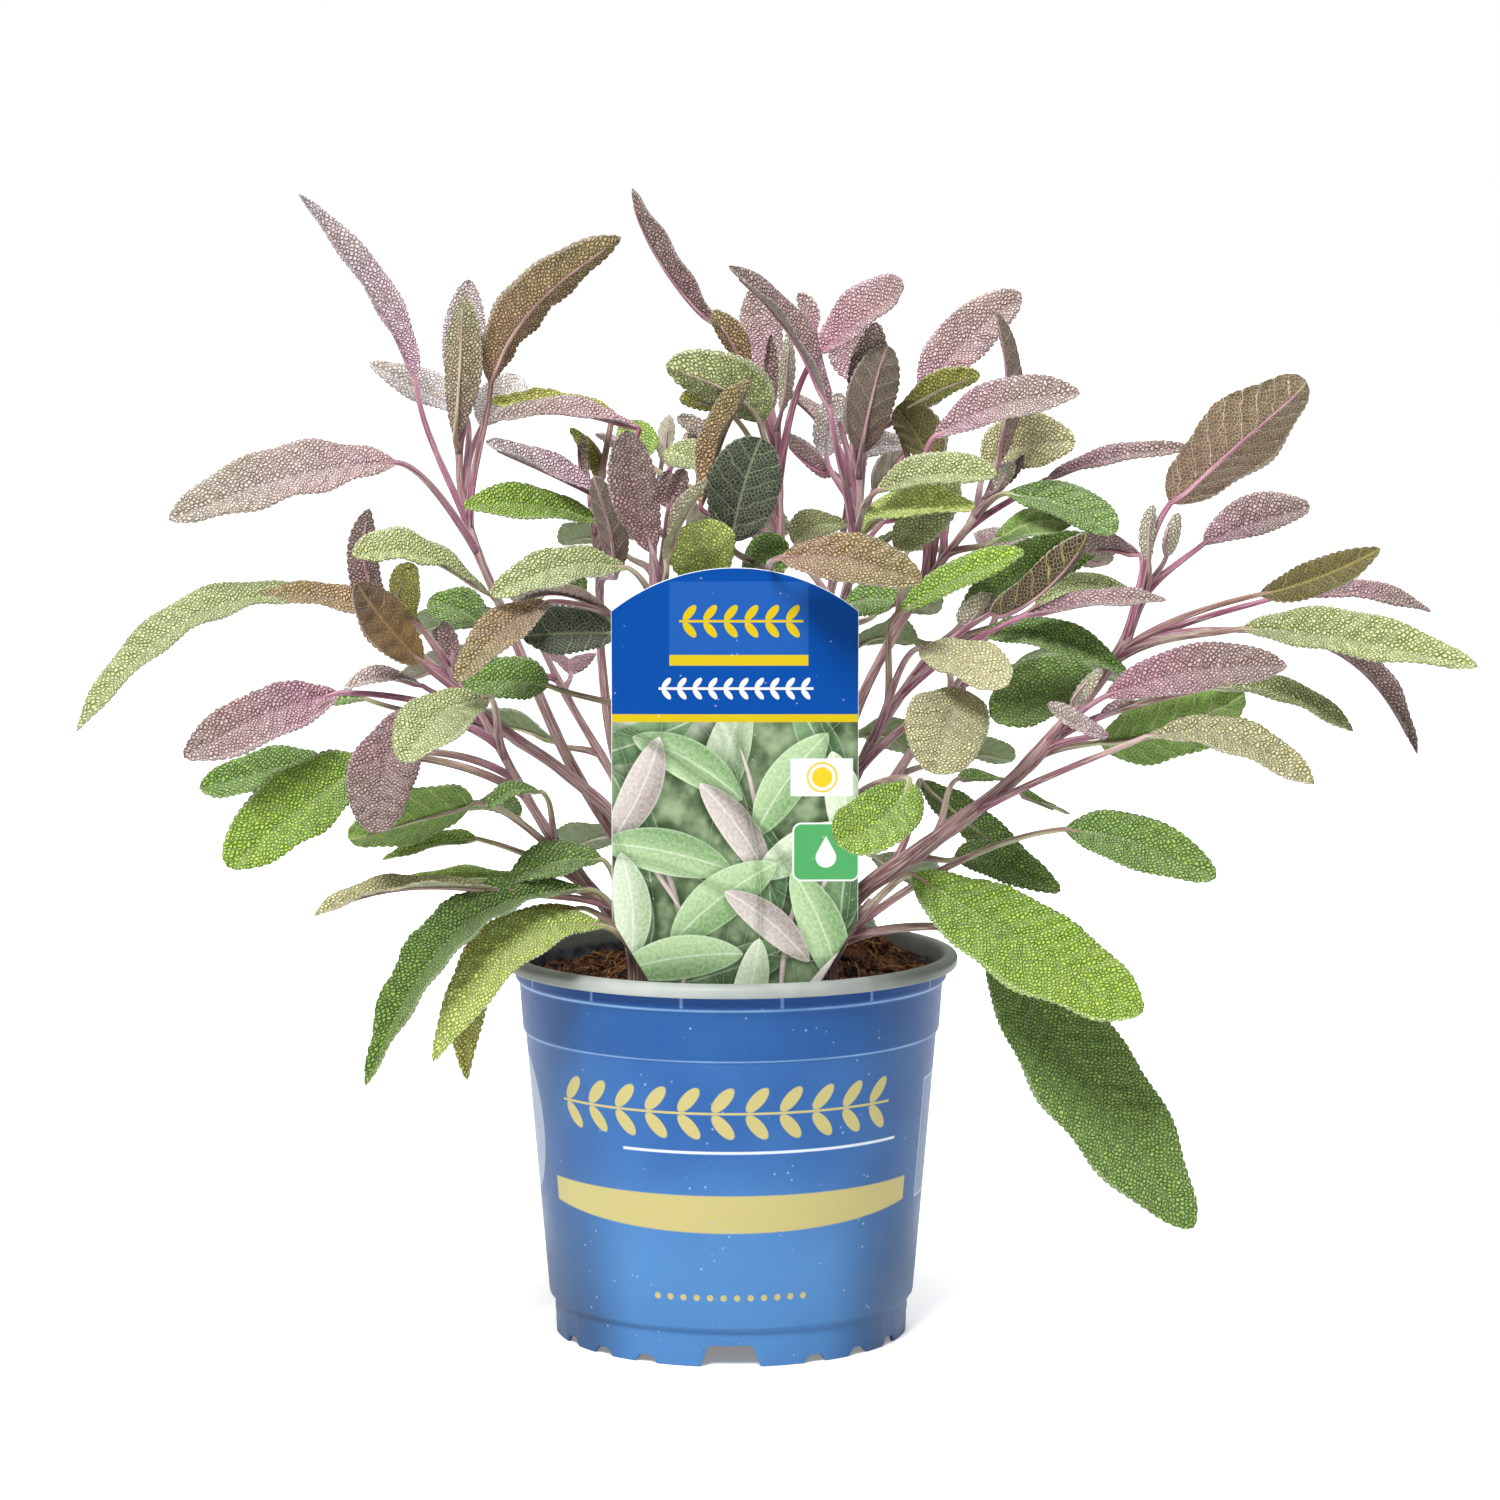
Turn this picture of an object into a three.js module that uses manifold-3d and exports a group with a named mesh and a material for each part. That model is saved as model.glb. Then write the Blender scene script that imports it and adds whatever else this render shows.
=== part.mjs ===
// Potted purple sage: a bushy sage plant in a 12 cm plastic nursery pot, with a plastic plant label.
// Millimetres, +Z up. The origin is the middle of the pot's underside, on the surface that it stands on.
// +X runs to the right and +Y away from someone who reads the label.
import * as THREE from "three";
import { mergeVertices } from "three/addons/utils/BufferGeometryUtils.js";
import Module from "manifold-3d";

const wasm = await Module();
wasm.setup();

const GAP = 0.3; // kept between pieces that touch on the real plant
const ROUNDING = 0.3; // how far the flats of a many-sided ring lie inside its circle
const SAME_POINT = 1e-4; // corners closer than this are one corner

// The pot: a thermoformed 12 cm nursery pot with a rolled rim and two rings pressed into its wall.
const RIM_RADIUS = 60;
const RIM_TOP = 101;
const RIM_LIP = 3.6; // height of the rolled edge
const RIM_ROUND = { side: 0.4, edge: 1, top: 1.4, inside: 0.8 }; // how the rolled edge is rounded off
const COLLAR_RADIUS = 57; // outside, just under the lip
const RING_ONE = [93.6, 55.9]; // height and outer radius of the first pressed ring
const RING_TWO = [80.4, 54.3];
const RING_LEDGE = { under: 0.4, over: 0.5, out: 0.7, collar: 0.9 }; // the small step at each ring
const FOOT_TOP = [10, 48.3];
const FOOT_STEP = 0.8;
const FOOT_RADIUS = 46.8;
const WALL = 1.0;
const FLOOR = 6; // height of the floor's underside, inside the skirt
const REST_DISC = 9; // radius of the dimple at the middle of the floor, which reaches down to the table
const REST_FLARE = 1.5; // how much wider the dimple is where it leaves the floor
const POT_SEGMENTS = 30;
const NOTCH_TALL = { height: 5.5, top: 11, bottom: 16 };
const NOTCH_LOW = { height: 2, top: 4, bottom: 5 };
const NOTCH_QUARTERS = 4; // a tall notch at the start of each quarter of the skirt
const NOTCH_LOW_TURNS = [28, 45, 62]; // degrees past each tall notch
const NOTCH_REACH = 8; // how far a notch's wedge runs through the skirt
const DRAIN = { count: 6, radius: 4, ring: 30, sides: 8 };

// The soil: peat heaped a little towards the right-hand back of the pot.
const SOIL_EDGE = 92.5;
const SOIL_MOUND = { x: 16, y: 12, height: 15, spread: 20 };
const SOIL_WAVES = { high: 0.8, x: 4.1, turn: 1.3, y: 3.7, low: 0.5, across: 2.3 };
const SOIL_SEGMENTS = 24;
const SOIL_RINGS = [0.2, 0.42, 0.64, 0.84, 1]; // shares of the radius

// The label: a thin card with an arched top and a pointed foot, standing in the soil behind the front rim.
const LABEL_MIDDLE = 1.2;
const LABEL_HALF_WIDTH = 31.2;
const LABEL_DEPTH = -46;
const LABEL_THICK = 0.8;
const LABEL_SHOULDER = 194;
const LABEL_PEAK = 205;
const LABEL_TAPER = 115.5;
const LABEL_FOOT = { height: 76, half: 8 };
const LABEL_ARCH_STEPS = 10;

// The plant. Every place of a leaf or stem is written [across, height, depth] as the eye of a viewer sees
// it against an upright sheet through the pot's middle: the first two are read off that sheet, and the third
// is how far behind it (+) or before it (-) the place lies along the same line of sight.
const EYE = new THREE.Vector3(5, -1130, 274);
const ROOT_END = 72; // stems reach down to this height in the soil
const ROOT_HOLE = GAP + 0.06; // the room round a root, a little more than the gap at its flats
const STEM_SIDES = 5;
const STEM_STEP = 24; // mm of stem for each ring of points
const LEAF_THICK = 1.2; // at the midrib
const LEAF_SPANS = 6;
const SMALL_LEAF_SPANS = 4;
const SMALL_LEAF = 46; // blades shorter than this have fewer spans
const LONG_STALK = 42; // leafstalks longer than this have three spans and not two
const STALK_REACH = 0.35; // how far a leafstalk keeps its direction at each end, as a share of its length
const STALK_RADIUS = [1.2, 0.9]; // at the stem and at the blade
const WAVE = 0.86; // every second ring is this much narrower, which gives the blade its waved edge
const USUAL_FOLD = 12; // degrees that each half of a blade rises from the midrib

// For each leafy stem: its radius at the soil and at the top, its path, and its leaves. A leaf is
// [height where it leaves the stem, foot, middle and tip of the blade, width, the way its upper side looks
// (right, away, up), fold where it isn't the usual one].
const SHOOTS = {
  shoot_left_tall: {
    thick: [2.1, 1.3],
    stem: [[-17, 98, 2], [-27, 124, 0], [-42, 150, -3], [-52, 172, -5], [-60, 191, -5],
      [-67, 208, -3], [-70.5, 222, 0], [-71, 235, 1]],
    leaves: [
      [210, [-82, 250, 2], [-90.5, 273, 0], [-112, 299, -6], 12, [6, -8, 2], 30],
      [233, [-69, 243, 6], [-69.5, 260, 8], [-68, 277, 11], 12, [0, -10, 0], 14],
      [232, [-72, 236, -3], [-70, 255, -5], [-69.5, 273, -5], 11, [1, 10, 0], 18],
      [212, [-62.5, 250, 2], [-53, 270.5, 0], [-28.5, 288, -4], 16, [-5, 8, 3], 14],
      [206, [-87, 229.5, -14], [-115, 227.5, -24], [-147, 214.5, -30], 19, [1, -7, 7], 10],
      [216, [-70, 243, 16], [-79, 249, 24], [-94, 255.5, 34], 12, [0, -7, 7], 14],
      [216, [-65, 239, 18], [-60, 247, 26], [-55, 252, 38], 13, [0, -8, 6], 14],
      [190, [-63, 195, -22], [-80, 207, -38], [-99, 205, -50], 15, [0, -6, 8]],
      [186, [-66, 187, -8], [-71, 191.5, -2], [-79, 194, 6], 13, [0, -9, 4]],
    ],
  },
  shoot_left_back: {
    thick: [2, 1.1],
    stem: [[-13, 98, 12], [-20, 124, 12], [-30, 150, 14], [-34, 178, 12], [-34.5, 200, 10],
      [-36, 214, 8], [-37, 222, 8]],
    leaves: [
      [205, [-34, 214, -2], [-51, 220, -16], [-70, 218, -24], 13, [0, -7, 7]],
      [210, [-31, 243, 14], [-47, 246.5, 12], [-63, 245, 8], 13, [0, -4, 9]],
      [206, [-24, 238.5, 2], [-42, 244.5, -3], [-62, 241, -8], 12, [0, -4, 9], 14],
      [204, [-31, 220, -6], [-48, 230.5, -10], [-64, 235, -12], 13, [3, -4, 9], 20],
      [218, [-34.5, 224, 12], [-36, 231, 14], [-42, 238.5, 16], 8, [-8, 5, 5], 22],
      [218, [-36.5, 222, 6], [-37.5, 230, 8], [-38.5, 237, 9], 5, [9, 2, 0], 30],
      [196, [-30, 200, -12], [-31, 213, -16], [-36, 226, -18], 10, [2, 9, 2], 24],
      [190, [-39, 194, 22], [-47, 202, 34], [-57, 201, 46], 14, [0, -4, 9]],
    ],
  },
  shoot_left_mid: {
    thick: [2.5, 1.4],
    stem: [[-9, 98, -10], [-16, 118, -16], [-28, 134, -22], [-45, 149, -27], [-58, 158, -29],
      [-68, 167, -30], [-74, 176, -30]],
    leaves: [
      [172, [-84, 188, -30], [-104, 195, -32], [-124, 195.5, -30], 10, [1, -6, 8]],
      [168, [-81, 177, -40], [-89.5, 187, -50], [-98, 198, -56], 13, [3, -9, 2]],
      [174, [-88, 182, -22], [-96, 200, -20], [-94.5, 217.5, -16], 10, [-3, 9, 1], 20],
      [174, [-83, 189, -26], [-85.5, 196, -34], [-83, 203, -44], 11, [4, 8, 3], 24],
      [175, [-73, 178, -34], [-74, 183, -36], [-75.5, 188, -37], 6, [-2, -9, 0], 20],
      [175, [-75, 177, -27], [-76, 182, -26], [-77, 186.5, -25], 5, [-6, 8, 0], 20],
      [170, [-104, 193, -16], [-141, 191, -24], [-172, 159, -40], 15, [-2, -6, 8]],
      [166, [-81, 171, -34], [-91, 174.5, -40], [-101.5, 170, -46], 7, [0, -5, 8], 16],
      [162, [-103, 169, -42], [-123, 164.5, -52], [-144, 152, -60], 16, [1, -8, 6], 10],
      [160, [-96, 167.5, -30], [-101, 168, -30], [-107, 166, -30], 5, [0, -6, 8], 10],
    ],
  },
  shoot_left_low: {
    thick: [2.2, 1.3],
    stem: [[-23, 98, -17], [-33, 112, -24], [-45, 124, -32], [-55, 134, -36], [-66, 144, -38],
      [-76, 152, -38]],
    leaves: [
      [140, [-64, 168, -56], [-77, 164.5, -74], [-86, 150.5, -92], 17, [1, -6, 8], 10],
      [148, [-85, 165, -50], [-91.5, 149, -66], [-93, 132, -76], 18, [-1, -9, 4], 10],
      [148, [-108, 152, -22], [-123, 149.5, -18], [-140, 144, -14], 14, [0, -7, 7], 10],
      [146, [-95, 151, -38], [-112.5, 140.5, -46], [-133, 123, -56], 21, [1, -8, 6], 10],
      [126, [-68, 140, -46], [-83, 137, -52], [-101, 130.5, -56], 19, [1, 8, 6], 8],
      [120, [-67, 130.5, -40], [-79, 130.5, -40], [-92, 125, -38], 11, [0, -3, 9]],
      [132, [-50, 143, -48], [-57, 144, -56], [-64, 138.5, -64], 7, [0, -5, 8]],
      [128, [-56, 136, -20], [-63, 141, -10], [-72, 138, 0], 12, [0, -4, 9]],
    ],
  },
  shoot_left_foot: {
    thick: [2.4, 1.8],
    stem: [[-25, 98, -31], [-27, 107, -34], [-30, 116, -36]],
    leaves: [
      [114, [-60, 117, -50], [-88, 119.7, -60], [-110, 110, -70], 12, [0, -1, 10], 16],
      [115, [-56, 120, -36], [-71, 121.5, -30], [-86, 120, -24], 11, [0, -2, 10]],
      [108, [-37, 117, -42], [-74, 109, -60], [-97, 64.5, -66], 18, [-3, -7, 7], 24],
      [112, [-34, 125, -38], [-45, 126, -42], [-58, 119.5, -48], 13, [0, -6, 8]],
      [106, [-40, 112, -38], [-65, 99, -46], [-70, 66, -48], 13, [-2, -8, 5]],
      [102, [-33, 107, -42], [-58, 103, -56], [-79, 71, -62], 16, [0, -6, 8], 8],
    ],
  },
  shoot_front_left: {
    thick: [2, 1.2],
    stem: [[-7, 98, -20], [-9, 130, -26], [-14, 165, -32], [-18, 188, -35], [-18, 203, -36],
      [-16, 215, -35]],
    leaves: [
      [196, [-20.5, 206, -42], [-25, 222, -48], [-27, 238, -50], 13, [-1, -10, 1]],
      [212, [-16, 218, -36], [-14, 223, -37], [-12.5, 228, -38], 6, [2, -9, 1], 20],
      [212, [-16.5, 218, -32], [-17, 222, -31], [-16, 227.5, -30], 6, [-2, -9, 0], 20],
      [194, [-17, 204, -46], [-15.5, 215, -52], [-6, 225, -58], 10, [-7, -3, 6], 20],
      [186, [-5, 198, -38], [-7, 206, -42], [-9, 214.5, -44], 18, [1, -9, 3], 8],
      [190, [-27, 202, -44], [-44, 203.5, -54], [-63, 194.5, -62], 13, [0, -7, 7], 10],
      [182, [-48, 193, -52], [-60, 187, -64], [-72, 172, -74], 13, [-1, -7, 7]],
      [184, [-31, 190, -34], [-45, 197, -34], [-58, 192, -32], 10, [0, -1, 10]],
      [176, [-30, 185, -42], [-42, 185.5, -50], [-55, 184, -58], 14, [0, -9, 4], 10],
      [160, [-48, 171, -36], [-58, 173, -37], [-71, 172, -38], 14, [0, -8, 6], 10],
    ],
  },
  shoot_centre: {
    thick: [2.4, 1.4],
    stem: [[1, 98, 2], [4, 135, 1], [9, 170, -2], [12.5, 200, -4], [12.5, 222, -5], [12, 240, -5]],
    leaves: [
      [238, [13, 242, -8], [14.5, 252, -9], [15, 264, -9], 6, [0, 10, 0], 30],
      [238, [11, 243, -2], [10.5, 252, 0], [10.5, 263, 2], 6, [3, -9, 0], 30],
      [232, [-3, 265, 4], [-14.5, 283, 2], [-25.5, 300.5, -2], 11, [8, 3, 5], 30],
      [230, [4, 254, -6], [1, 262, -8], [-5, 269, -10], 9, [5, 8, 4], 16],
      [234, [9, 252, 14], [8, 263, 20], [6, 275, 26], 12, [0, -10, 1]],
      [224, [22.5, 258, -14], [33, 269, -20], [45, 275.5, -26], 16, [-3, -8, 6], 16],
      [222, [7.5, 240, -16], [0, 249, -20], [-17, 255, -24], 17, [-2, 8, 5]],
      [214, [-1, 243, -14], [-7, 246, -16], [-13.5, 246, -18], 8, [0, 8, 6]],
      [210, [-5, 235, -6], [-9, 239, -4], [-14, 241.5, -2], 6, [0, -7, 7]],
      [206, [-8, 218, -22], [-5, 238, -26], [5.5, 251, -30], 12, [-8, -6, 2], 28],
      [196, [0, 209, -30], [3, 222, -36], [8, 236, -38], 19, [0, -10, 1], 8],
      [188, [3, 199, -18], [8, 207, -20], [14, 201, -24], 12, [0, -7, 7], 10],
      [201, [13, 204.6, -57], [30, 205.4, -66], [50, 198.5, -72], 15, [0, -8, 6], 8],
      [206, [-22, 231, 22], [-24, 236, 28], [-28, 240, 34], 11, [0, -8, 6]],
      [200, [-9, 228, 16], [-12, 232, 20], [-17, 233, 26], 12, [0, -8, 6]],
    ],
  },
  shoot_centre_right: {
    thick: [2.1, 1.2],
    stem: [[9, 98, 8], [14, 130, 6], [22, 165, 2], [30, 195, -4], [33.5, 215, -8], [33.5, 228, -9]],
    leaves: [
      [206, [26, 243, -28], [18, 266, -32], [-0.5, 280.5, -36], 13, [6, -4, 7], 24],
      [226, [34, 232, -14], [37, 246, -17], [41, 260, -18], 14, [1, 10, 0], 14],
      [226, [33, 240, -5], [35, 253, -3], [38, 266, 0], 10, [0, -10, 0], 14],
      [214, [25, 231, 2], [25.5, 239, 6], [29, 247.5, 10], 10, [0, -9, 4], 14],
      [204, [26.5, 227, 14], [21, 230.5, 20], [13.5, 237, 26], 11, [0, 7, 7]],
      [216, [34, 231, 4], [40, 235.5, 10], [48, 233.5, 18], 10, [0, -7, 7], 14],
      [210, [38, 222, -34], [52, 228, -40], [69.5, 226, -46], 13, [0, -7, 7], 16],
      [198, [43, 207, -24], [50, 216, -26], [58.5, 227, -28], 13, [2, -9, 4], 10],
      [194, [34, 210.5, -28], [42, 219.5, -34], [64, 217.5, -42], 17, [0, -5, 9], 14],
      [214, [32, 251, 14], [30, 258, 18], [29, 266, 22], 11, [0, -10, 1]],
      [214, [22, 264, 26], [20.5, 269, 28], [17.5, 273.5, 30], 5, [0, -9, 2]],
      [188, [17, 208, 12], [22, 214, 18], [30, 214, 26], 12, [0, -6, 8]],
      [176, [30, 192, -34], [36, 194.5, -38], [43, 193, -42], 13, [0, -8, 6], 8],
    ],
  },
  shoot_right_up: {
    thick: [2.2, 1.2],
    stem: [[15, 98, 2], [22, 130, 0], [32, 162, -4], [42, 183, -8], [54, 202, -11], [63, 214, -12],
      [68, 222, -12]],
    leaves: [
      [204, [49.5, 248, 14], [60.5, 261.5, 18], [75.5, 273.5, 20], 15, [-2, -9, 3], 10],
      [220, [70, 229, -4], [74.5, 249, -2], [69, 269, 0], 9, [8, 5, 2], 24],
      [196, [53, 236, -24], [69, 246, -32], [91, 247.5, -38], 14, [-1, -8, 6], 14],
      [214, [67, 228, 6], [76.5, 235, 12], [90, 235, 18], 17, [-1, -9, 4], 10],
      [212, [82, 225, -12], [98, 231.5, -18], [121, 233.5, -24], 8, [0, -6, 8], 14],
      [221, [69, 222, -16], [71, 226, -17], [74, 230, -18], 6, [0, 9, 3], 30],
      [221, [71, 223, -10], [74, 227, -10], [76.5, 231.5, -10], 4, [-2, -9, 0], 30],
      [216, [72, 221.5, -20], [88, 219.5, -30], [100, 210.5, -40], 15, [0, -6, 8], 10],
      [206, [69, 209, -16], [79, 215, -22], [89, 213, -28], 12, [0, -7, 7], 10],
      [200, [44, 243, 2], [54, 249.5, 6], [65, 252, 10], 10, [1, 8, 6]],
      [198, [52.5, 229, -4], [49, 238, -2], [43, 244, 0], 15, [3, -8, 5]],
      [184, [46, 206, 8], [50, 209, 14], [57, 205, 20], 8, [0, -6, 8]],
    ],
  },
  shoot_right_mid: {
    thick: [2.2, 1.3],
    stem: [[18, 98, -8], [24, 124, -14], [34, 150, -22], [43, 166, -27], [53, 180, -30],
      [60, 186, -31]],
    leaves: [
      [184, [60.5, 187, -36], [63, 191, -38], [67.5, 195.5, -40], 8, [-4, 8, 4], 24],
      [185, [64, 188, -28], [66.5, 192, -28], [68.5, 195, -29], 5, [3, -9, 0], 24],
      [176, [68, 190, -44], [80, 198.5, -50], [93, 211, -54], 13, [-5, 8, 4], 26],
      [170, [77, 189.5, -50], [95, 194.5, -56], [114, 193.5, -60], 10, [0, -4, 9], 14],
      [182, [80, 192, -22], [91, 198.5, -14], [104.5, 196.5, -6], 11, [0, -5, 8]],
      [180, [60, 187, -10], [77, 202, -4], [98, 208.5, 0], 15, [0, -9, 5], 10],
      [170, [65, 184, -38], [84, 185, -44], [104, 174, -47], 13, [0, -6, 8]],
      [158, [50, 181, -52], [61, 179, -66], [71, 170, -82], 17, [2, -8, 5], 8],
      [150, [61, 170, -58], [57, 162, -76], [54, 147.5, -88], 21, [1, -8, 6], 8],
      [164, [43.5, 190, -36], [59.5, 200.5, -42], [77, 206, -48], 11, [0, -7, 7]],
      [140, [47, 145.5, -56], [39, 136.5, -74], [27, 130.5, -82], 19, [1, -6, 8], 10],
    ],
  },
  shoot_right_big: {
    thick: [3.1, 1.6],
    stem: [[22, 98, -24], [33, 115, -32], [48, 126, -38], [60, 135, -41], [74, 146, -42],
      [86, 159, -41], [96, 171, -38], [103, 182, -35], [107, 192, -33], [110, 200, -32]],
    leaves: [
      [184, [115, 219, -38], [131, 236.5, -42], [150, 251, -46], 25, [-3, 8, 4]],
      [196, [124, 208.5, -24], [137, 216, -20], [151.5, 218, -18], 15, [-2, -7, 7], 16],
      [198, [109.5, 203, -36], [109, 211, -38], [110.5, 218.5, -39], 6, [0, 10, 0], 30],
      [198, [114, 205, -29], [115.5, 210, -28], [117, 216.5, -27], 7, [6, 7, 0], 30],
      [182, [138.5, 195, -42], [153, 199.5, -48], [170, 207, -52], 10, [0, -9, 4], 10],
      [180, [142, 194, -30], [164, 196.5, -28], [183.5, 190.5, -24], 10, [0, -5, 9]],
      [180, [134, 186, -52], [160, 185.5, -62], [196, 176, -74], 16, [0, -7, 7], 14],
      [182, [146, 185, -38], [168, 176.3, -38], [180.5, 153, -36], 10, [4, -6, 6], 24],
      [186, [107, 205.5, -28], [100, 209, -24], [91.5, 206.5, -20], 12, [0, 6, 8], 16],
      [162, [98, 168, -52], [121, 176, -58], [146, 176, -62], 14, [0, -8, 5], 10],
      [160, [126, 170.5, -42], [146, 170, -42], [163.5, 159, -42], 11, [0, -5, 9]],
      [156, [97, 156, -36], [115, 160.5, -36], [135, 169, -38], 20, [0, 9, 3], 8],
      [140, [109, 157.5, -60], [131, 159, -70], [153.5, 145, -80], 14, [1, -6, 8]],
      [158, [99, 158, -50], [93, 161, -56], [83, 166, -62], 8, [0, -7, 7], 14],
      [162, [97, 163, -44], [101, 166, -46], [106, 166.5, -48], 6, [0, -5, 9], 14],
      [158, [90, 166, -47], [93, 170, -49], [97.5, 175.5, -50], 6, [6, 7, 0], 30],
      [158, [94, 168, -30], [83, 170, -24], [68, 163, -18], 22, [0, -8, 6], 8],
      [130, [59, 125, -32], [71, 124.5, -26], [87, 116.5, -22], 12, [0, -8, 6], 10],
      [126, [50, 146, -6], [63, 136, 4], [84, 118, 8], 12, [-2, 6, 8]],
      [134, [60, 146.5, -20], [66, 147.5, -16], [73, 146, -12], 8, [0, -3, 9], 10],
      [140, [76, 143, -30], [82, 141, -28], [89.5, 137, -26], 8, [0, -2, 10], 10],
    ],
  },
  shoot_right_foot: {
    thick: [2.5, 1.8],
    stem: [[26, 98, -33], [31, 106, -37], [37, 114, -40]],
    leaves: [
      [112, [48, 121, -58], [77, 104.5, -72], [109, 84, -84], 25, [1, -8, 6], 6],
      [108, [68, 104, -50], [93.5, 69, -58], [123, 26, -62], 28, [2, -9, 4], 6],
      [110, [88, 133, -48], [106, 130.5, -54], [128, 120, -60], 16, [0, -8, 6], 10],
    ],
  },
  shoot_mid_back_left: {
    thick: [2.1, 1.2],
    stem: [[-6, 98, 10], [-10, 130, 16], [-16, 165, 22], [-20, 195, 28], [-20, 215, 32],
      [-18, 226, 34]],
    leaves: [
      [216, [-24, 232, 38], [-30, 238, 48], [-28, 232, 60], 12, [-2, 6, 7], 14],
      [216, [-14, 232, 38], [-8, 240, 48], [0, 240, 58], 12, [0, 6, 7], 14],
      [218, [-18, 230, 36], [-17, 236, 37], [-16, 242, 38], 6, [0, 9, 2], 24],
      [198, [-28, 206, 40], [-36, 212, 52], [-44, 208, 66], 14, [0, 6, 7]],
      [196, [-12, 208, 38], [-4, 215, 43], [6, 212, 48], 14, [0, 6, 7]],
      [172, [-24, 184, 36], [-30, 190, 50], [-34, 184, 64], 15, [0, 7, 7]],
      [154, [-8, 163, 26], [0, 170, 30], [9, 169, 34], 15, [0, 6, 8]],
    ],
  },
  shoot_mid_back_right: {
    thick: [2.1, 1.2],
    stem: [[10, 98, 14], [14, 130, 18], [20, 165, 22], [26, 195, 26], [30, 215, 28], [32, 232, 30]],
    leaves: [
      [222, [26, 238, 34], [20, 246, 44], [13, 249, 56], 12, [-2, 6, 7], 14],
      [222, [38, 238, 34], [46, 245, 44], [54, 245, 56], 12, [2, 6, 7], 14],
      [224, [32, 238, 32], [33, 245, 33], [34, 252, 33], 6, [0, 9, 2], 24],
      [200, [22, 208, 36], [16, 214, 48], [8, 210, 60], 14, [0, 6, 7]],
      [198, [38, 208, 38], [46, 214, 50], [56, 210, 62], 14, [0, 6, 7]],
      [170, [30, 180, 34], [38, 186, 46], [48, 182, 58], 15, [0, 7, 7]],
      [144, [12, 152, 34], [6, 158, 46], [-2, 152, 60], 15, [0, 7, 7]],
    ],
  },
  shoot_back_left: {
    thick: [2.1, 1.2],
    stem: [[-14, 98, 20], [-19, 120, 36], [-30, 145, 54], [-42, 166, 68], [-49, 180, 76],
      [-52, 187, 80]],
    leaves: [
      [178, [-60, 190, 88], [-72, 190, 100], [-86, 184, 108], 15, [-2, 7, 7]],
      [178, [-51, 193, 90], [-49, 198, 102], [-45, 197, 114], 13, [0, 7, 7]],
      [180, [-53, 191, 79], [-55, 195, 77], [-58, 197, 73], 8, [0, 9, 2], 24],
      [166, [-56, 174, 74], [-70, 179, 82], [-88, 172, 88], 16, [0, 5, 8]],
      [162, [-42, 174, 84], [-42, 180, 98], [-44, 177, 112], 15, [0, 6, 7]],
      [146, [-46, 156, 66], [-56, 162, 78], [-70, 161, 90], 15, [0, 6, 7]],
      [128, [-28, 132, 60], [-38, 132, 76], [-50, 122, 90], 16, [0, 6, 7]],
    ],
  },
  shoot_back_mid_left: {
    thick: [2.2, 1.2],
    stem: [[-4, 98, 30], [-5, 125, 40], [-8, 155, 50], [-10, 180, 56], [-10, 200, 60]],
    leaves: [
      [188, [-14, 208, 68], [-20, 214, 78], [-30, 210, 88], 14, [-2, 7, 7], 14],
      [188, [-4, 208, 68], [4, 215, 76], [14, 213, 88], 14, [2, 7, 7], 14],
      [190, [-9, 206, 62], [-9, 213, 62], [-11, 220, 60], 7, [0, 9, 2], 24],
      [170, [-16, 180, 66], [-21, 186, 78], [-22, 180, 92], 15, [0, 7, 7]],
      [168, [-2, 180, 68], [6, 186, 80], [12, 180, 96], 16, [0, 7, 7]],
      [144, [-14, 150, 64], [-20, 154, 78], [-24, 144, 94], 16, [0, 7, 7]],
    ],
  },
  shoot_back_mid_right: {
    thick: [2.2, 1.2],
    stem: [[12, 98, 26], [16, 122, 38], [22, 150, 50], [28, 176, 58], [31, 198, 62], [32, 212, 62]],
    leaves: [
      [200, [37, 222, 68], [41, 230, 74], [48, 236, 82], 13, [-2, 7, 6], 14],
      [196, [40, 214, 70], [49, 219, 78], [58, 217, 86], 13, [2, 7, 6], 14],
      [202, [32, 220, 60], [33, 228, 58], [35, 235, 57], 6, [0, 9, 2], 24],
      [182, [20, 190, 70], [14, 196, 82], [6, 192, 94], 14, [0, 7, 7]],
      [180, [38, 190, 70], [46, 196, 82], [54, 190, 96], 15, [0, 7, 7]],
      [152, [32, 158, 64], [40, 160, 78], [50, 152, 92], 16, [0, 7, 7]],
      [130, [28, 138, 60], [33, 141, 76], [34, 134, 92], 15, [0, 7, 7]],
    ],
  },
  shoot_back_right: {
    thick: [2.1, 1.2],
    stem: [[20, 98, 18], [28, 120, 32], [42, 145, 46], [56, 166, 58], [66, 182, 64], [72, 195, 68]],
    leaves: [
      [186, [80, 202, 74], [90, 206, 82], [99, 203, 90], 14, [0, 6, 8]],
      [186, [68, 204, 78], [70, 210, 90], [66, 212, 102], 13, [0, 7, 7]],
      [188, [73, 200, 70], [75, 206, 72], [77, 211, 74], 7, [0, 9, 2], 24],
      [164, [74, 176, 68], [88, 180, 76], [103, 172, 86], 15, [0, 6, 7]],
      [162, [56, 178, 74], [54, 184, 88], [58, 178, 102], 15, [0, 6, 7]],
      [140, [55, 152, 64], [64, 155, 76], [74, 151, 88], 14, [0, 6, 7]],
      [122, [38, 126, 52], [46, 124, 68], [54, 117, 82], 15, [0, 6, 7]],
    ],
  },
  shoot_back_low: {
    thick: [2.4, 1.4],
    stem: [[2, 98, 40], [2, 110, 48], [2, 124, 56]],
    leaves: [
      [110, [-12, 116, 62], [-26, 112, 80], [-38, 98, 92], 16, [-2, 6, 7], 10],
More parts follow.
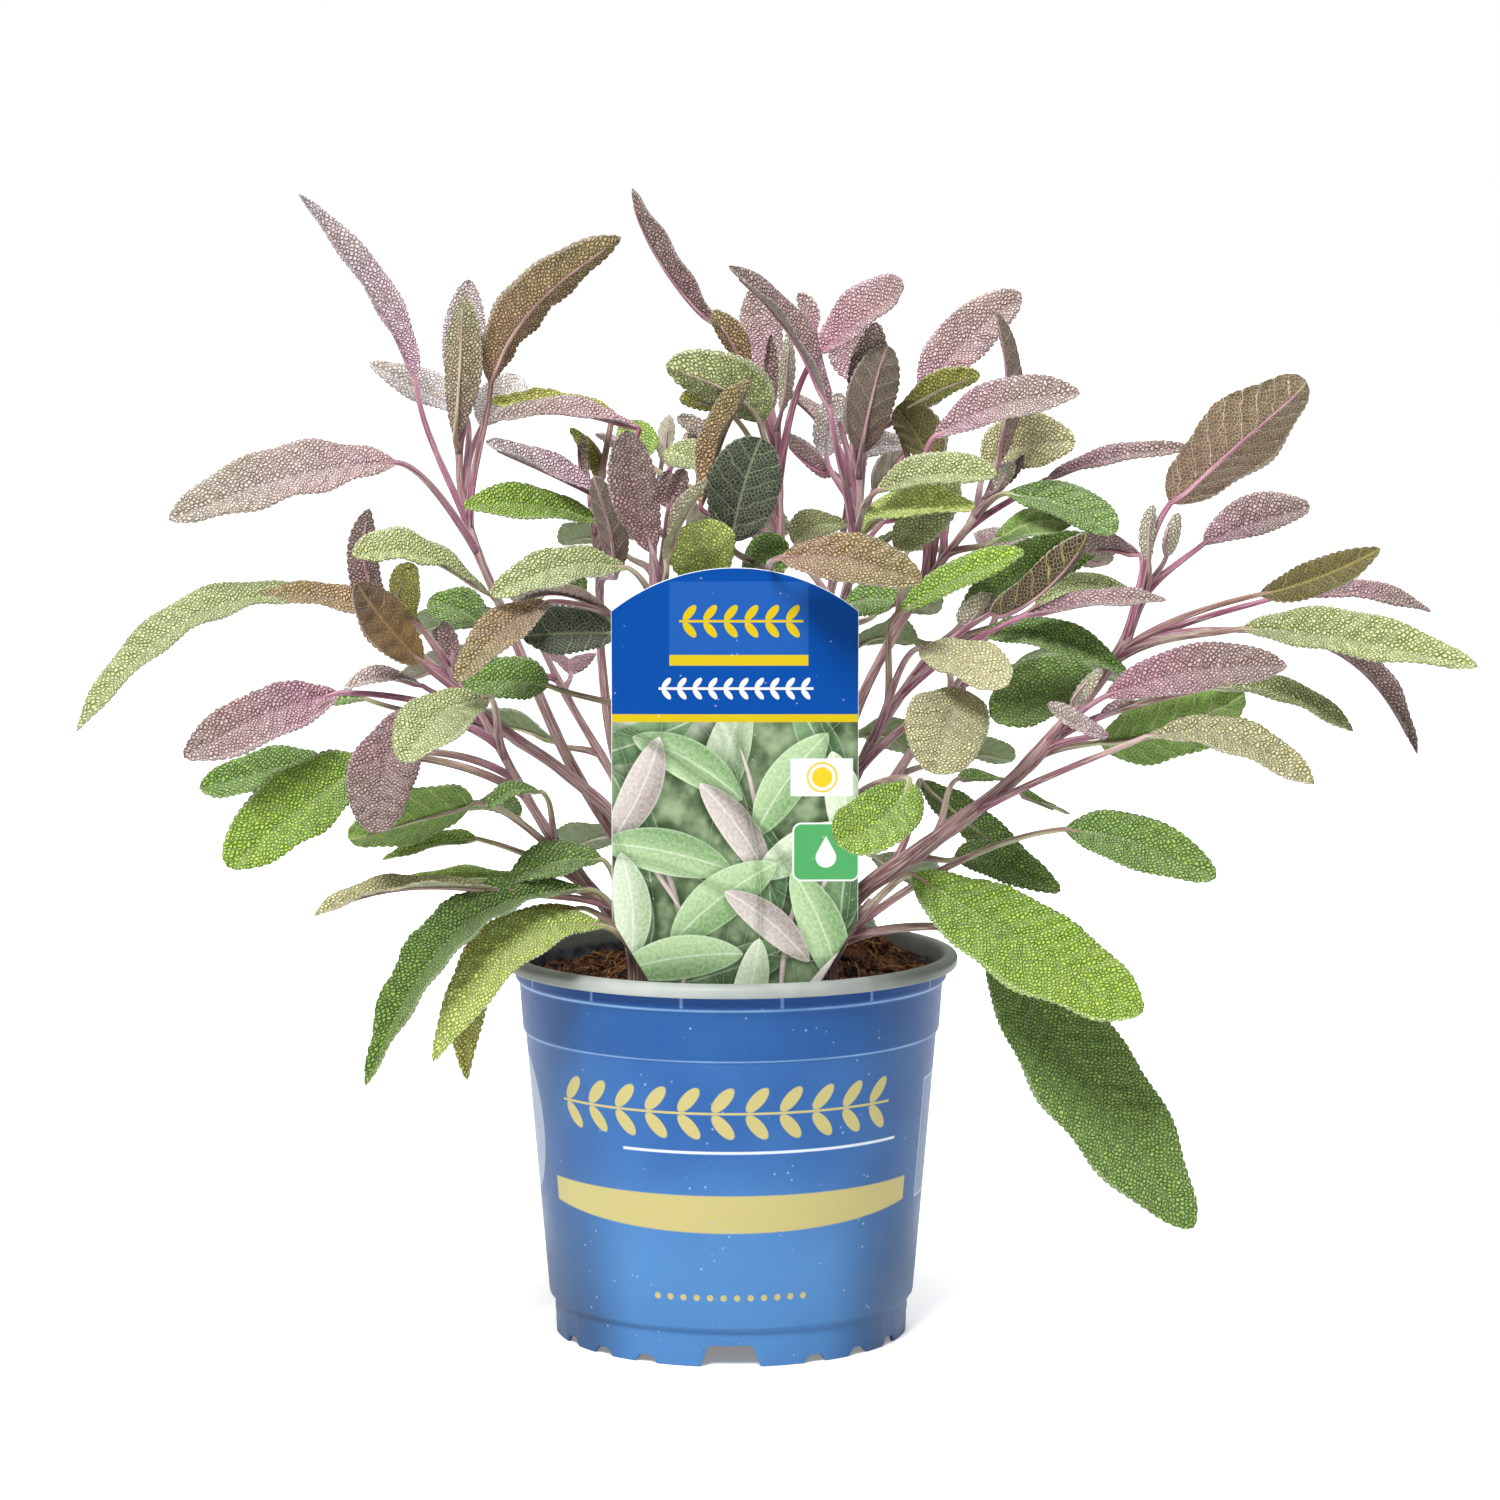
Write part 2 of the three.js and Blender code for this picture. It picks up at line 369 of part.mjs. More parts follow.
      [110, [14, 118, 62], [28, 112, 82], [38, 98, 94], 16, [2, 6, 7], 10],
      [114, [2, 128, 68], [2, 130, 86], [4, 118, 104], 18, [0, 7, 7], 10],
      [116, [-6, 131, 60], [-14, 137, 70], [-18, 137, 82], 10, [0, 7, 7]],
      [116, [8, 132, 60], [16, 138, 68], [22, 137, 80], 10, [0, 7, 7]],
    ],
  },
};

const COLOURS = {
  pot: { color: 0x3f76b3, roughness: 0.42, metalness: 0 },
  soil: { color: 0x2b1a10, roughness: 0.95, metalness: 0 },
  label: { color: 0xb9cfae, roughness: 0.35, metalness: 0 },
  plant: { color: 0x7f9068, roughness: 0.8, metalness: 0 },
};

// Turns a closed geometry into a solid whose faces point out.
function solid(geometry) {
  const bare = geometry.clone();
  bare.deleteAttribute("normal");
  bare.deleteAttribute("uv");
  const merged = mergeVertices(bare, SAME_POINT);
  const points = Float32Array.from(merged.attributes.position.array);
  const faces = Uint32Array.from(merged.index.array);
  if (sixVolumes(points, faces) < 0) {
    for (let i = 0; i < faces.length; i += 3) {
      [faces[i], faces[i + 1]] = [faces[i + 1], faces[i]];
    }
  }
  return new wasm.Manifold(new wasm.Mesh({ numProp: 3, vertProperties: points, triVerts: faces }));
}

// Six times the signed volume inside a triangle mesh, which is negative where its faces point in.
function sixVolumes(points, faces) {
  const [a, b, c] = [new THREE.Vector3(), new THREE.Vector3(), new THREE.Vector3()];
  let total = 0;
  for (let i = 0; i < faces.length; i += 3) {
    a.fromArray(points, 3 * faces[i]);
    b.fromArray(points, 3 * faces[i + 1]);
    c.fromArray(points, 3 * faces[i + 2]);
    total += a.dot(b.cross(c));
  }
  return total;
}

// A solid through rings of points, closed at both ends. Every ring has the same number of points. The cut
// of each four-sided patch turns with its place in the ring, so both faces of a blade are split alike.
function throughRings(rings) {
  const sides = rings[0].length;
  const points = rings.flat().flatMap((p) => [p.x, p.y, p.z]);
  const faces = [];
  for (let i = 0; i + 1 < rings.length; i++) {
    for (let k = 0; k < sides; k++) {
      const a = i * sides + k;
      const b = i * sides + ((k + 1) % sides);
      const [c, d] = [a + sides, b + sides];
      if (k % 2 === 0) faces.push(a, b, d, a, d, c);
      else faces.push(a, b, c, b, d, c);
    }
  }
  const last = (rings.length - 1) * sides;
  for (let k = 1; k + 1 < sides; k++) {
    faces.push(0, k + 1, k);
    faces.push(last, last + k, last + k + 1);
  }
  const geometry = new THREE.BufferGeometry();
  geometry.setAttribute("position", new THREE.Float32BufferAttribute(points, 3));
  geometry.setIndex(withoutFlatFaces(points, faces));
  return solid(geometry);
}

// Drops the triangles that lose a side where a ring shrinks to a point.
function withoutFlatFaces(points, faces) {
  const place = (i) => [0, 1, 2].map((k) => Math.round(points[3 * i + k] / SAME_POINT)).join();
  const kept = [];
  for (let i = 0; i < faces.length; i += 3) {
    const corners = [faces[i], faces[i + 1], faces[i + 2]];
    if (new Set(corners.map(place)).size === 3) kept.push(...corners);
  }
  return kept;
}

// A place written as it is seen, moved along its line of sight to its real depth.
function seen([across, height, depth]) {
  const share = (depth - EYE.y) / -EYE.y;
  return new THREE.Vector3(across, 0, height).sub(EYE).multiplyScalar(share).add(EYE);
}

function stemCurve(path) {
  return new THREE.CatmullRomCurve3(path.map(seen), false, "catmullrom", 0.5);
}

// The share of the way along a rising curve at which it reaches a height, found by halving.
function shareAtHeight(curve, height) {
  let [low, high] = [0, 1];
  while (high - low > 1e-9) {
    const middle = (low + high) / 2;
    if (curve.getPoint(middle).z < height) low = middle;
    else high = middle;
  }
  return (low + high) / 2;
}

// A round stem with its root straight down in the soil. Grown by `extra`, it is the hole that it stands in.
function stem({ path, thick, extra = 0 }) {
  const curve = stemCurve(path);
  const steps = Math.ceil(curve.getLength() / STEM_STEP);
  const top = curve.getPoint(0);
  const root = new THREE.Vector3(top.x, top.y, ROOT_END - extra);
  const centres = [root, ...Array.from({ length: steps + 1 }, (_, i) => curve.getPoint(i / steps))];
  const ways = [new THREE.Vector3(0, 0, 1)];
  for (let i = 0; i <= steps; i++) ways.push(curve.getTangent(i / steps));
  const side = new THREE.Vector3(1, 0, 0);
  const rings = centres.map((centre, i) => {
    const share = Math.max(0, i - 1) / steps;
    const radius = THREE.MathUtils.lerp(thick[0], thick[1], share) + extra;
    side.addScaledVector(ways[i], -side.dot(ways[i])).normalize();
    const other = new THREE.Vector3().crossVectors(ways[i], side);
    return Array.from({ length: STEM_SIDES }, (_, k) => {
      const turn = (2 * Math.PI * k) / STEM_SIDES;
      return centre
        .clone()
        .addScaledVector(side, radius * Math.cos(turn))
        .addScaledVector(other, radius * Math.sin(turn));
    });
  });
  return throughRings(rings);
}

// Shares along a blade, a little closer together at both ends so that the foot and the tip are round.
function bladeShare(i, spans) {
  const even = i / spans;
  return 0.5 * even + 0.25 * (1 - Math.cos(Math.PI * even));
}

// A leafstalk's middle line: it leaves the stem at a slant along it, and meets the blade in its direction.
function stalkCurve(stemLine, up, blade) {
  const share = shareAtHeight(stemLine, up);
  const start = stemLine.getPoint(share);
  const end = blade.getPoint(0);
  const reach = start.distanceTo(end) * STALK_REACH;
  const leave = end.clone().sub(start).normalize().add(stemLine.getTangent(share)).normalize();
  return new THREE.CubicBezierCurve3(
    start,
    start.clone().addScaledVector(leave, reach),
    end.clone().addScaledVector(blade.getTangent(0), -reach),
    end,
  );
}

// One leaf: a three-sided stalk, and a lens-shaped blade whose halves rise from its midrib.
function leaf(stemLine, [up, foot, middle, tip, width, face, fold = USUAL_FOLD]) {
  const [a, m, b] = [foot, middle, tip].map(seen);
  const control = m.clone().multiplyScalar(2).addScaledVector(a, -0.5).addScaledVector(b, -0.5);
  const blade = new THREE.QuadraticBezierCurve3(a, control, b);
  const stalk = stalkCurve(stemLine, up, blade);
  const stalkSpans = stalk.v0.distanceTo(a) > LONG_STALK ? 3 : 2;
  const spans = blade.getLength() < SMALL_LEAF ? SMALL_LEAF_SPANS : LEAF_SPANS;
  const tilt = THREE.MathUtils.degToRad(fold);
  const line = [];
  for (let i = 0; i < stalkSpans; i++) {
    const t = i / stalkSpans;
    const radius = THREE.MathUtils.lerp(...STALK_RADIUS, t);
    line.push({ at: stalk.getPoint(t), way: stalk.getTangent(t), stalk: radius });
  }
  for (let i = 0; i <= spans; i++) {
    const s = bladeShare(i, spans);
    const wave = i % 2 === 1 ? WAVE : 1;
    const full = Math.max(Math.sqrt(4 * s * (1 - s)) * (width / 2) * wave, STALK_RADIUS[1]);
    const point = { at: blade.getPoint(s), way: blade.getTangent(s), out: 0, rise: 0, half: 0 };
    if (i < spans) {
      point.out = full * Math.cos(tilt);
      point.rise = full * Math.sin(tilt);
      point.half = LEAF_THICK / 2;
    }
    line.push(point);
  }
  faceTheLine(line, new THREE.Vector3(...face), stalkSpans + spans / 2);
  return throughRings(line.map(leafRing));
}

// Gives every point of a leaf's line the direction its upper side looks, turning as little as it can from
// the blade's middle, where it is given.
function faceTheLine(line, face, middle) {
  const square = (normal, way) => normal.clone().addScaledVector(way, -normal.dot(way)).normalize();
  line[middle].normal = square(face, line[middle].way);
  for (let i = middle + 1; i < line.length; i++) line[i].normal = square(line[i - 1].normal, line[i].way);
  for (let i = middle - 1; i >= 0; i--) line[i].normal = square(line[i + 1].normal, line[i].way);
}

// The points round a leaf's line. On the blade they are one edge, the upper side, the other edge and the
// underside. On the three-sided stalk the last is the same as the first.
function leafRing({ at, way, normal, stalk, out, rise, half }) {
  const side = new THREE.Vector3().crossVectors(way, normal);
  if (stalk) {
    const low = at.clone().addScaledVector(normal, -stalk / 2);
    const edge = low.clone().addScaledVector(side, stalk);
    const top = at.clone().addScaledVector(normal, stalk);
    return [edge, top, low.clone().addScaledVector(side, -stalk), edge];
  }
  const rib = at.clone().addScaledVector(normal, -rise);
  return [
    at.clone().addScaledVector(side, out),
    rib.clone().addScaledVector(normal, half),
    at.clone().addScaledVector(side, -out),
    rib.clone().addScaledVector(normal, -half),
  ];
}

function shoot({ thick, stem: path, leaves }) {
  const curve = stemCurve(path);
  return leaves.reduce((whole, row) => whole.add(leaf(curve, row)), stem({ path, thick }));
}

// Turns a profile of [radius, height] round the pot's axis.
function turned(profile, segments) {
  const lathe = new THREE.LatheGeometry(profile.map(([r, z]) => new THREE.Vector2(r, z)), segments);
  lathe.rotateX(Math.PI / 2);
  return solid(lathe);
}

// The pot's outside from the top of the skirt up to the collar, with its two pressed rings.
function outerWall() {
  const [oneHeight, oneRadius] = RING_ONE;
  const [twoHeight, twoRadius] = RING_TWO;
  return [
    [FOOT_RADIUS, FOOT_TOP[0] - FOOT_STEP],
    [FOOT_TOP[1], FOOT_TOP[0]],
    [twoRadius, twoHeight - RING_LEDGE.under],
    [twoRadius + RING_LEDGE.out, twoHeight + RING_LEDGE.over],
    [oneRadius, oneHeight - RING_LEDGE.under],
    [COLLAR_RADIUS, oneHeight + RING_LEDGE.collar],
  ];
}

// The inside of the wall from the floor up to the first ring, `inset` in from the outside.
function innerWall(inset) {
  return [
    [FOOT_RADIUS - inset, FLOOR + WALL],
    [RING_TWO[1] - inset, RING_TWO[0] - RING_LEDGE.under],
    [RING_ONE[1] - inset, RING_ONE[0] - RING_LEDGE.under],
  ];
}

// The rolled rim from the collar's outside, over the top, to the inside of the wall.
function rim() {
  const lip = RIM_TOP - RIM_LIP;
  return [
    [COLLAR_RADIUS, lip],
    [RIM_RADIUS - RIM_ROUND.side, lip],
    [RIM_RADIUS, RIM_TOP - RIM_ROUND.edge],
    [RIM_RADIUS - RIM_ROUND.top, RIM_TOP],
    [COLLAR_RADIUS, RIM_TOP],
    [COLLAR_RADIUS - WALL, RIM_TOP - RIM_ROUND.inside],
  ];
}

// A wedge that cuts one notch into the pot's skirt, wider at the table than at its top.
function notch({ height, top, bottom }, degrees) {
  const below = -1;
  const shape = new THREE.Shape([
    new THREE.Vector2(-bottom / 2, below),
    new THREE.Vector2(bottom / 2, below),
    new THREE.Vector2(top / 2, height),
    new THREE.Vector2(-top / 2, height),
  ]);
  const wedge = new THREE.ExtrudeGeometry(shape, { depth: NOTCH_REACH, bevelEnabled: false });
  wedge.rotateX(Math.PI / 2);
  wedge.translate(0, NOTCH_REACH / 2 - FOOT_RADIUS, 0);
  wedge.rotateZ(THREE.MathUtils.degToRad(degrees));
  return solid(wedge);
}

function drainHole(degrees) {
  const hole = new THREE.CylinderGeometry(DRAIN.radius, DRAIN.radius, 4 * WALL, DRAIN.sides);
  hole.rotateX(Math.PI / 2);
  hole.translate(DRAIN.ring, 0, FLOOR + WALL / 2);
  hole.rotateZ(THREE.MathUtils.degToRad(degrees));
  return solid(hole);
}

// The pot stands on its notched skirt and on the dimple at the middle of its floor.
function pot() {
  const profile = [
    [0, 0],
    [REST_DISC, 0],
    [REST_DISC + REST_FLARE, FLOOR],
    [FOOT_RADIUS - WALL, FLOOR],
    [FOOT_RADIUS - WALL, 0],
    [FOOT_RADIUS, 0],
    ...outerWall(),
    ...rim(),
    ...innerWall(WALL).reverse(),
    [REST_DISC + WALL, FLOOR + WALL],
    [REST_DISC - WALL / 2, WALL],
    [0, WALL],
  ];
  let body = turned(profile, POT_SEGMENTS);
  for (let i = 0; i < NOTCH_QUARTERS; i++) {
    const turn = (360 / NOTCH_QUARTERS) * i;
    body = body.subtract(notch(NOTCH_TALL, turn));
    for (const step of NOTCH_LOW_TURNS) body = body.subtract(notch(NOTCH_LOW, turn + step));
  }
  for (let i = 0; i < DRAIN.count; i++) {
    body = body.subtract(drainHole((360 / DRAIN.count) * (i + 0.5)));
  }
  return body;
}

// The height of the soil: an even bed, one mound and small waves.
function soilHeight(x, y) {
  const away = (x - SOIL_MOUND.x) ** 2 + (y - SOIL_MOUND.y) ** 2;
  const mound = SOIL_MOUND.height * Math.exp(-away / (2 * SOIL_MOUND.spread ** 2));
  const big = SOIL_WAVES.high * Math.sin(x / SOIL_WAVES.x + SOIL_WAVES.turn) * Math.cos(y / SOIL_WAVES.y);
  const small = SOIL_WAVES.low * Math.sin((x + y) / SOIL_WAVES.across);
  return SOIL_EDGE + mound + big + small;
}

// The filling: the pot's inside less the gap, closed above by the soil's surface.
function soil() {
  const [low, middle, high] = innerWall(WALL + GAP + ROUNDING);
  const bed = ring(low[0], () => low[1] + GAP);
  const waist = ring(middle[0], () => middle[1]);
  const surface = [...SOIL_RINGS].reverse().map((share) => ring(high[0] * share, soilHeight));
  return throughRings([bed, waist, ...surface]);
}

function ring(radius, heightAt) {
  return Array.from({ length: SOIL_SEGMENTS }, (_, k) => {
    const turn = (2 * Math.PI * k) / SOIL_SEGMENTS;
    const [x, y] = [radius * Math.cos(turn), radius * Math.sin(turn)];
    return new THREE.Vector3(x, y, heightAt(x, y));
  });
}

// The card. Grown by `extra` on every side, it is the slot that it stands in.
function label(extra = 0) {
  const half = LABEL_HALF_WIDTH + extra;
  const rise = LABEL_PEAK - LABEL_SHOULDER;
  const radius = (half ** 2 + rise ** 2) / (2 * rise);
  const swing = Math.asin(half / radius);
  const shape = new THREE.Shape();
  shape.moveTo(-LABEL_FOOT.half - extra, LABEL_FOOT.height - extra);
  shape.lineTo(LABEL_FOOT.half + extra, LABEL_FOOT.height - extra);
  shape.lineTo(half, LABEL_TAPER);
  shape.lineTo(half, LABEL_SHOULDER);
  shape.absarc(0, LABEL_PEAK - radius, radius, Math.PI / 2 - swing, Math.PI / 2 + swing, false);
  shape.lineTo(-half, LABEL_TAPER);
  shape.closePath();
  const depth = LABEL_THICK + 2 * extra;
  const options = { depth, bevelEnabled: false, curveSegments: LABEL_ARCH_STEPS };
  const card = new THREE.ExtrudeGeometry(shape, options);
  card.rotateX(Math.PI / 2);
  card.translate(LABEL_MIDDLE, LABEL_DEPTH + depth / 2, 0);
  return solid(card);
}

function mesh(name, body, look) {
  const { vertProperties, triVerts } = body.getMesh();
  const geometry = new THREE.BufferGeometry();
  geometry.setAttribute("position", new THREE.BufferAttribute(Float32Array.from(vertProperties), 3));
  geometry.setIndex(new THREE.BufferAttribute(Uint32Array.from(triVerts), 1));
  geometry.computeVertexNormals();
  const piece = new THREE.Mesh(geometry, new THREE.MeshStandardMaterial(look));
  piece.name = name;
  return piece;
}

const plant = new THREE.Group();
let filling = soil().subtract(label(GAP));
for (const [name, row] of Object.entries(SHOOTS)) {
  filling = filling.subtract(stem({ path: row.stem, thick: row.thick, extra: ROOT_HOLE }));
  plant.add(mesh(name, shoot(row), COLOURS.plant));
}

const pottedSage = new THREE.Group();
pottedSage.add(mesh("pot", pot(), COLOURS.pot));
pottedSage.add(mesh("soil", filling, COLOURS.soil));
pottedSage.add(mesh("label", label(), COLOURS.label));
pottedSage.add(plant);

export default pottedSage;
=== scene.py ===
# %% [markdown]
# # A potted purple sage
#
# This file dresses a ready frame: a blue nursery pot with peat, a plastic plant label and a bushy purple
# sage. The frame holds every piece at its real size and place, as plain faceted solids. Here each of them
# gets the fine surface that the real one shows: pebbled felted leaves, downy stems, crumbly peat, thin
# formed plastic and a printed card.
#
# The method is the same throughout. A surface is a grid of points, worked out with numpy as whole arrays
# from a formula. A colour that follows the shape is an attribute of the points, and the fine grain on top
# of it comes from shader nodes.

# %% The frame
import bpy
import numpy as np
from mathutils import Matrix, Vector


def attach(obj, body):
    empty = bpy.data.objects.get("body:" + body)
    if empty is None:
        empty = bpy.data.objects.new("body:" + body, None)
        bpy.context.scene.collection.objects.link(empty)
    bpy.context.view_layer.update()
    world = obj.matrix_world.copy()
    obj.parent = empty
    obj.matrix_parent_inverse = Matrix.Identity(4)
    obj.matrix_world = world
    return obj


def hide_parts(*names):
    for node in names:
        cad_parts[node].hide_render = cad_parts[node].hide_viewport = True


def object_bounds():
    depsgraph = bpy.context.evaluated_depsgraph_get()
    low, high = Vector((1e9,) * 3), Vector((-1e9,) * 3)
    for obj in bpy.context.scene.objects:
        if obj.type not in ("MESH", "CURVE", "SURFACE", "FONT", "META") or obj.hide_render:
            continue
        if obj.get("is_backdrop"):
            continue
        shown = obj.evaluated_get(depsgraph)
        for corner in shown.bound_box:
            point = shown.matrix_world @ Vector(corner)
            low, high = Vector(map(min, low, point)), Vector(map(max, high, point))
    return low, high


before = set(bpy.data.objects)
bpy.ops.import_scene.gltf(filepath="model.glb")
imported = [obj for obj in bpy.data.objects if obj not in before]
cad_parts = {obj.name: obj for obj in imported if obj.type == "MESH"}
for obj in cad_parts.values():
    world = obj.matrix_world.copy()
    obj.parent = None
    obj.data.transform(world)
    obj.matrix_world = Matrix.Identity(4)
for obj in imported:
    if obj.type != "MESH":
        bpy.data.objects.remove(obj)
cad_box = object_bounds()
print("frame:", len(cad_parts), "pieces, box", [[round(x, 3) for x in corner] for corner in cad_box])

# %% [markdown]
# ## Camera and light
#
# The plant was photographed from a little above, from about 1.1 m away, against plain white. The camera
# gets that place and a long lens. Product pictures of plants use large, soft lights, so that no leaf
# throws a hard shadow on the next. Here a softbox above the camera gives most of the light, one overhead
# lights the upper sides, and weak ones at the sides and behind fill the shade.

# %% The camera
MM = 0.001
EYE = np.array([5.0, -1130.0, 274.0])  # mm, where the viewer's eye is
AIM = np.array([5.0, 0.0, 154.0])
SENSOR = 36.0
FOCAL_SHARE = 2.88  # focal length as a share of the picture's width

camera = bpy.data.objects.new("camera", bpy.data.cameras.new("camera"))
camera.data.sensor_width = SENSOR
camera.data.lens = SENSOR * FOCAL_SHARE
camera.location = EYE * MM
camera.rotation_mode = "QUATERNION"
camera.rotation_quaternion = Vector(AIM - EYE).to_track_quat("-Z", "Y")
bpy.context.scene.collection.objects.link(camera)
bpy.context.scene.camera = camera
bpy.context.scene.view_settings.view_transform = "Standard"
print("camera at", tuple(round(x, 3) for x in camera.location), "lens", camera.data.lens, "mm")


# %% The light
LAMPS = [
    # name, place and aim in m, side in m, power in W, and whether it is seen in the pot's gloss
    ("softbox_front", (-0.3, -0.95, 1.2), (0, 0, 0.15), 0.45, 25.5, True),
    ("softbox_left", (-1.0, -0.35, 0.8), (0, 0, 0.18), 0.5, 3, False),
    ("softbox_right", (1.0, -0.3, 0.7), (0, 0, 0.18), 0.5, 2, False),
    ("softbox_top", (0.1, 0.3, 1.2), (0, 0, 0.15), 0.5, 9, True),
    ("softbox_back", (0.2, 1.0, 0.7), (0, 0, 0.15), 0.6, 7, False),
]
SKY_SEEN = 1.0  # the surround's strength, as the camera sees it
SKY_LIGHT = 0.12  # its strength as a light on the plant
SKY_MIRRORED = 0.15  # in reflections: how far its strength goes from the second towards the first


def softbox(name, place, aim, side, power, mirrored):
    """A square area light at a place, turned so that its face looks at the aim. One that isn't mirrored
    leaves no highlight on the pot, as a lamp behind a polarising sheet does."""
    lamp = bpy.data.lights.new(name, "AREA")
    lamp.size = side
    lamp.energy = power
    box = bpy.data.objects.new(name, lamp)
    box.location = place
    box.rotation_mode = "QUATERNION"
    box.rotation_quaternion = (Vector(aim) - Vector(place)).to_track_quat("-Z", "Y")
    box.visible_glossy = mirrored
    bpy.context.scene.collection.objects.link(box)


def studio_sky():
    """A white surround. The Light Path node tells what a ray is for, and picks the strength for it: share
    0 of the way from SKY_LIGHT to SKY_SEEN for light, SKY_MIRRORED for reflections and 1 for the camera."""
    sky = bpy.data.worlds.new("studio")
    sky.use_nodes = True
    nodes, links = sky.node_tree.nodes, sky.node_tree.links
    path = nodes.new("ShaderNodeLightPath")
    share = nodes.new("ShaderNodeMath")
    share.operation = "MULTIPLY_ADD"
    share.inputs[1].default_value = SKY_MIRRORED
    strength = nodes.new("ShaderNodeMapRange")
    strength.inputs["To Min"].default_value = SKY_LIGHT
    strength.inputs["To Max"].default_value = SKY_SEEN
    links.new(path.outputs["Is Glossy Ray"], share.inputs[0])
    links.new(path.outputs["Is Camera Ray"], share.inputs[2])
    links.new(share.outputs[0], strength.inputs["Value"])
    links.new(strength.outputs["Result"], nodes["Background"].inputs["Strength"])
    nodes["Background"].inputs["Color"].default_value = (1, 1, 1, 1)
    bpy.context.scene.world = sky


for lamp in LAMPS:
    softbox(*lamp)
studio_sky()
print("lights:", len(LAMPS), "softboxes and a white surround")

# %% [markdown]
# ## Formulas as shader nodes
#
# A pattern such as a printed band is easiest to write as a formula: "1 where the height is between these
# two values". `Wire` wraps a shader socket so that such formulas can be written with plain + - * and
# named steps, and each step becomes one Math node.

# %% Wires
def plug(tree, value, socket):
    """Joins a Wire to a socket, or sets the socket to a plain number, colour or vector."""
    if isinstance(value, Wire):
        tree.links.new(value.socket, socket)
    else:
        socket.default_value = value


class Wire:
    """A shader socket that can be used in formulas."""

    def __init__(self, tree, socket):
        self.tree = tree
        self.socket = socket

    def math(self, operation, *others):
        """One Math node, with this wire first and the others after it."""
        made = self.tree.nodes.new("ShaderNodeMath")
        made.operation = operation
        for socket, value in zip(made.inputs, (self, *others)):
            plug(self.tree, value, socket)
        return Wire(self.tree, made.outputs[0])

    def __add__(self, other):
        return self.math("ADD", other)

    def __sub__(self, other):
        return self.math("SUBTRACT", other)

    def __rsub__(self, other):
        return self.math("MULTIPLY", -1.0) + other

    def __mul__(self, other):
        return self.math("MULTIPLY", other)

    def __neg__(self):
        return self.math("MULTIPLY", -1.0)

    def size(self):
        """The number without its sign."""
        return self.math("ABSOLUTE")

    def ramp(self, low, high, to_low=0.0, to_high=1.0):
        """Goes smoothly from to_low to to_high while the wire goes from low to high."""
        steps = {"From Min": low, "From Max": high, "To Min": to_low, "To Max": to_high}
        made = self.tree.nodes.new("ShaderNodeMapRange")
        made.interpolation_type = "SMOOTHSTEP"
        plug(self.tree, self, made.inputs["Value"])
        for name, value in steps.items():
            plug(self.tree, value, made.inputs[name])
        return Wire(self.tree, made.outputs["Result"])

    def between(self, low, high, blur):
        """1 between two values and 0 outside them, with edges `blur` wide."""
        return self.ramp(low - blur, low + blur) * self.ramp(high - blur, high + blur, 1.0, 0.0)

    def reach(self):
        """The length of a vector."""
        made = self.tree.nodes.new("ShaderNodeVectorMath")
        made.operation = "LENGTH"
        plug(self.tree, self, made.inputs[0])
        return Wire(self.tree, made.outputs["Value"])

    def parts(self):
        """The three numbers of a vector."""
        made = self.tree.nodes.new("ShaderNodeSeparateXYZ")
        plug(self.tree, self, made.inputs[0])
        return [Wire(self.tree, out) for out in made.outputs]


def joined(tree, x, y, z=0.0):
    """A vector from three numbers or wires."""
    made = tree.nodes.new("ShaderNodeCombineXYZ")
    for value, socket in zip((x, y, z), made.inputs):
        plug(tree, value, socket)
    return Wire(tree, made.outputs[0])


def mixed(tree, share, first, second, how="MIX"):
    """The first colour, turned into the second (or treated by it, for other ways of mixing) by a share."""
    made = tree.nodes.new("ShaderNodeMix")
    made.data_type = "RGBA"
    made.blend_type = how
    for name, value in {"Factor_Float": share, "A_Color": first, "B_Color": second}.items():
        socket = next(s for s in made.inputs if s.identifier == name)
        plug(tree, value, socket)
    return Wire(tree, next(s for s in made.outputs if s.identifier == "Result_Color"))


def tinted(tree, colour, tint):
    """A colour multiplied by another."""
    return mixed(tree, 1.0, colour, tint, "MULTIPLY")


def hypotenuse(a, b):
    """How far a place is from the middle, from its two distances."""
    return (a * a + b * b).math("SQRT")


def noise(tree, where, scale, detail=2.0, roughness=0.5):
    """Smooth noise, about 0.5 with a spread of about 0.15."""
    made = tree.nodes.new("ShaderNodeTexNoise")
    plug(tree, where, made.inputs["Vector"])
    made.inputs["Scale"].default_value = scale
    made.inputs["Detail"].default_value = detail
    made.inputs["Roughness"].default_value = roughness
    return Wire(tree, made.outputs["Fac"])


def cells(tree, where, scale, feature="F1", flat=False, scatter=1.0):
    """Distance to the nearest of many scattered points, or to the edge between two of their cells."""
    made = tree.nodes.new("ShaderNodeTexVoronoi")
    made.feature = feature
    made.voronoi_dimensions = "2D" if flat else "3D"
    plug(tree, where, made.inputs["Vector"])
    made.inputs["Scale"].default_value = scale
    made.inputs["Randomness"].default_value = scatter
    return Wire(tree, made.outputs["Distance"])


def attribute(tree, name, out="Fac"):
    """A value that the mesh carries at each of its points."""
    made = tree.nodes.new("ShaderNodeAttribute")
    made.attribute_name = name
    return Wire(tree, made.outputs[out])


def coordinates(tree):
    """The place in the object's own coordinates, in metres."""
    return Wire(tree, tree.nodes.new("ShaderNodeTexCoord").outputs["Object"])


def flat_place(tree, name):
    """The two numbers of a UV map, which here are mm along and across a surface."""
    made = tree.nodes.new("ShaderNodeUVMap")
    made.uv_map = name
    return Wire(tree, made.outputs[0]).parts()[:2]


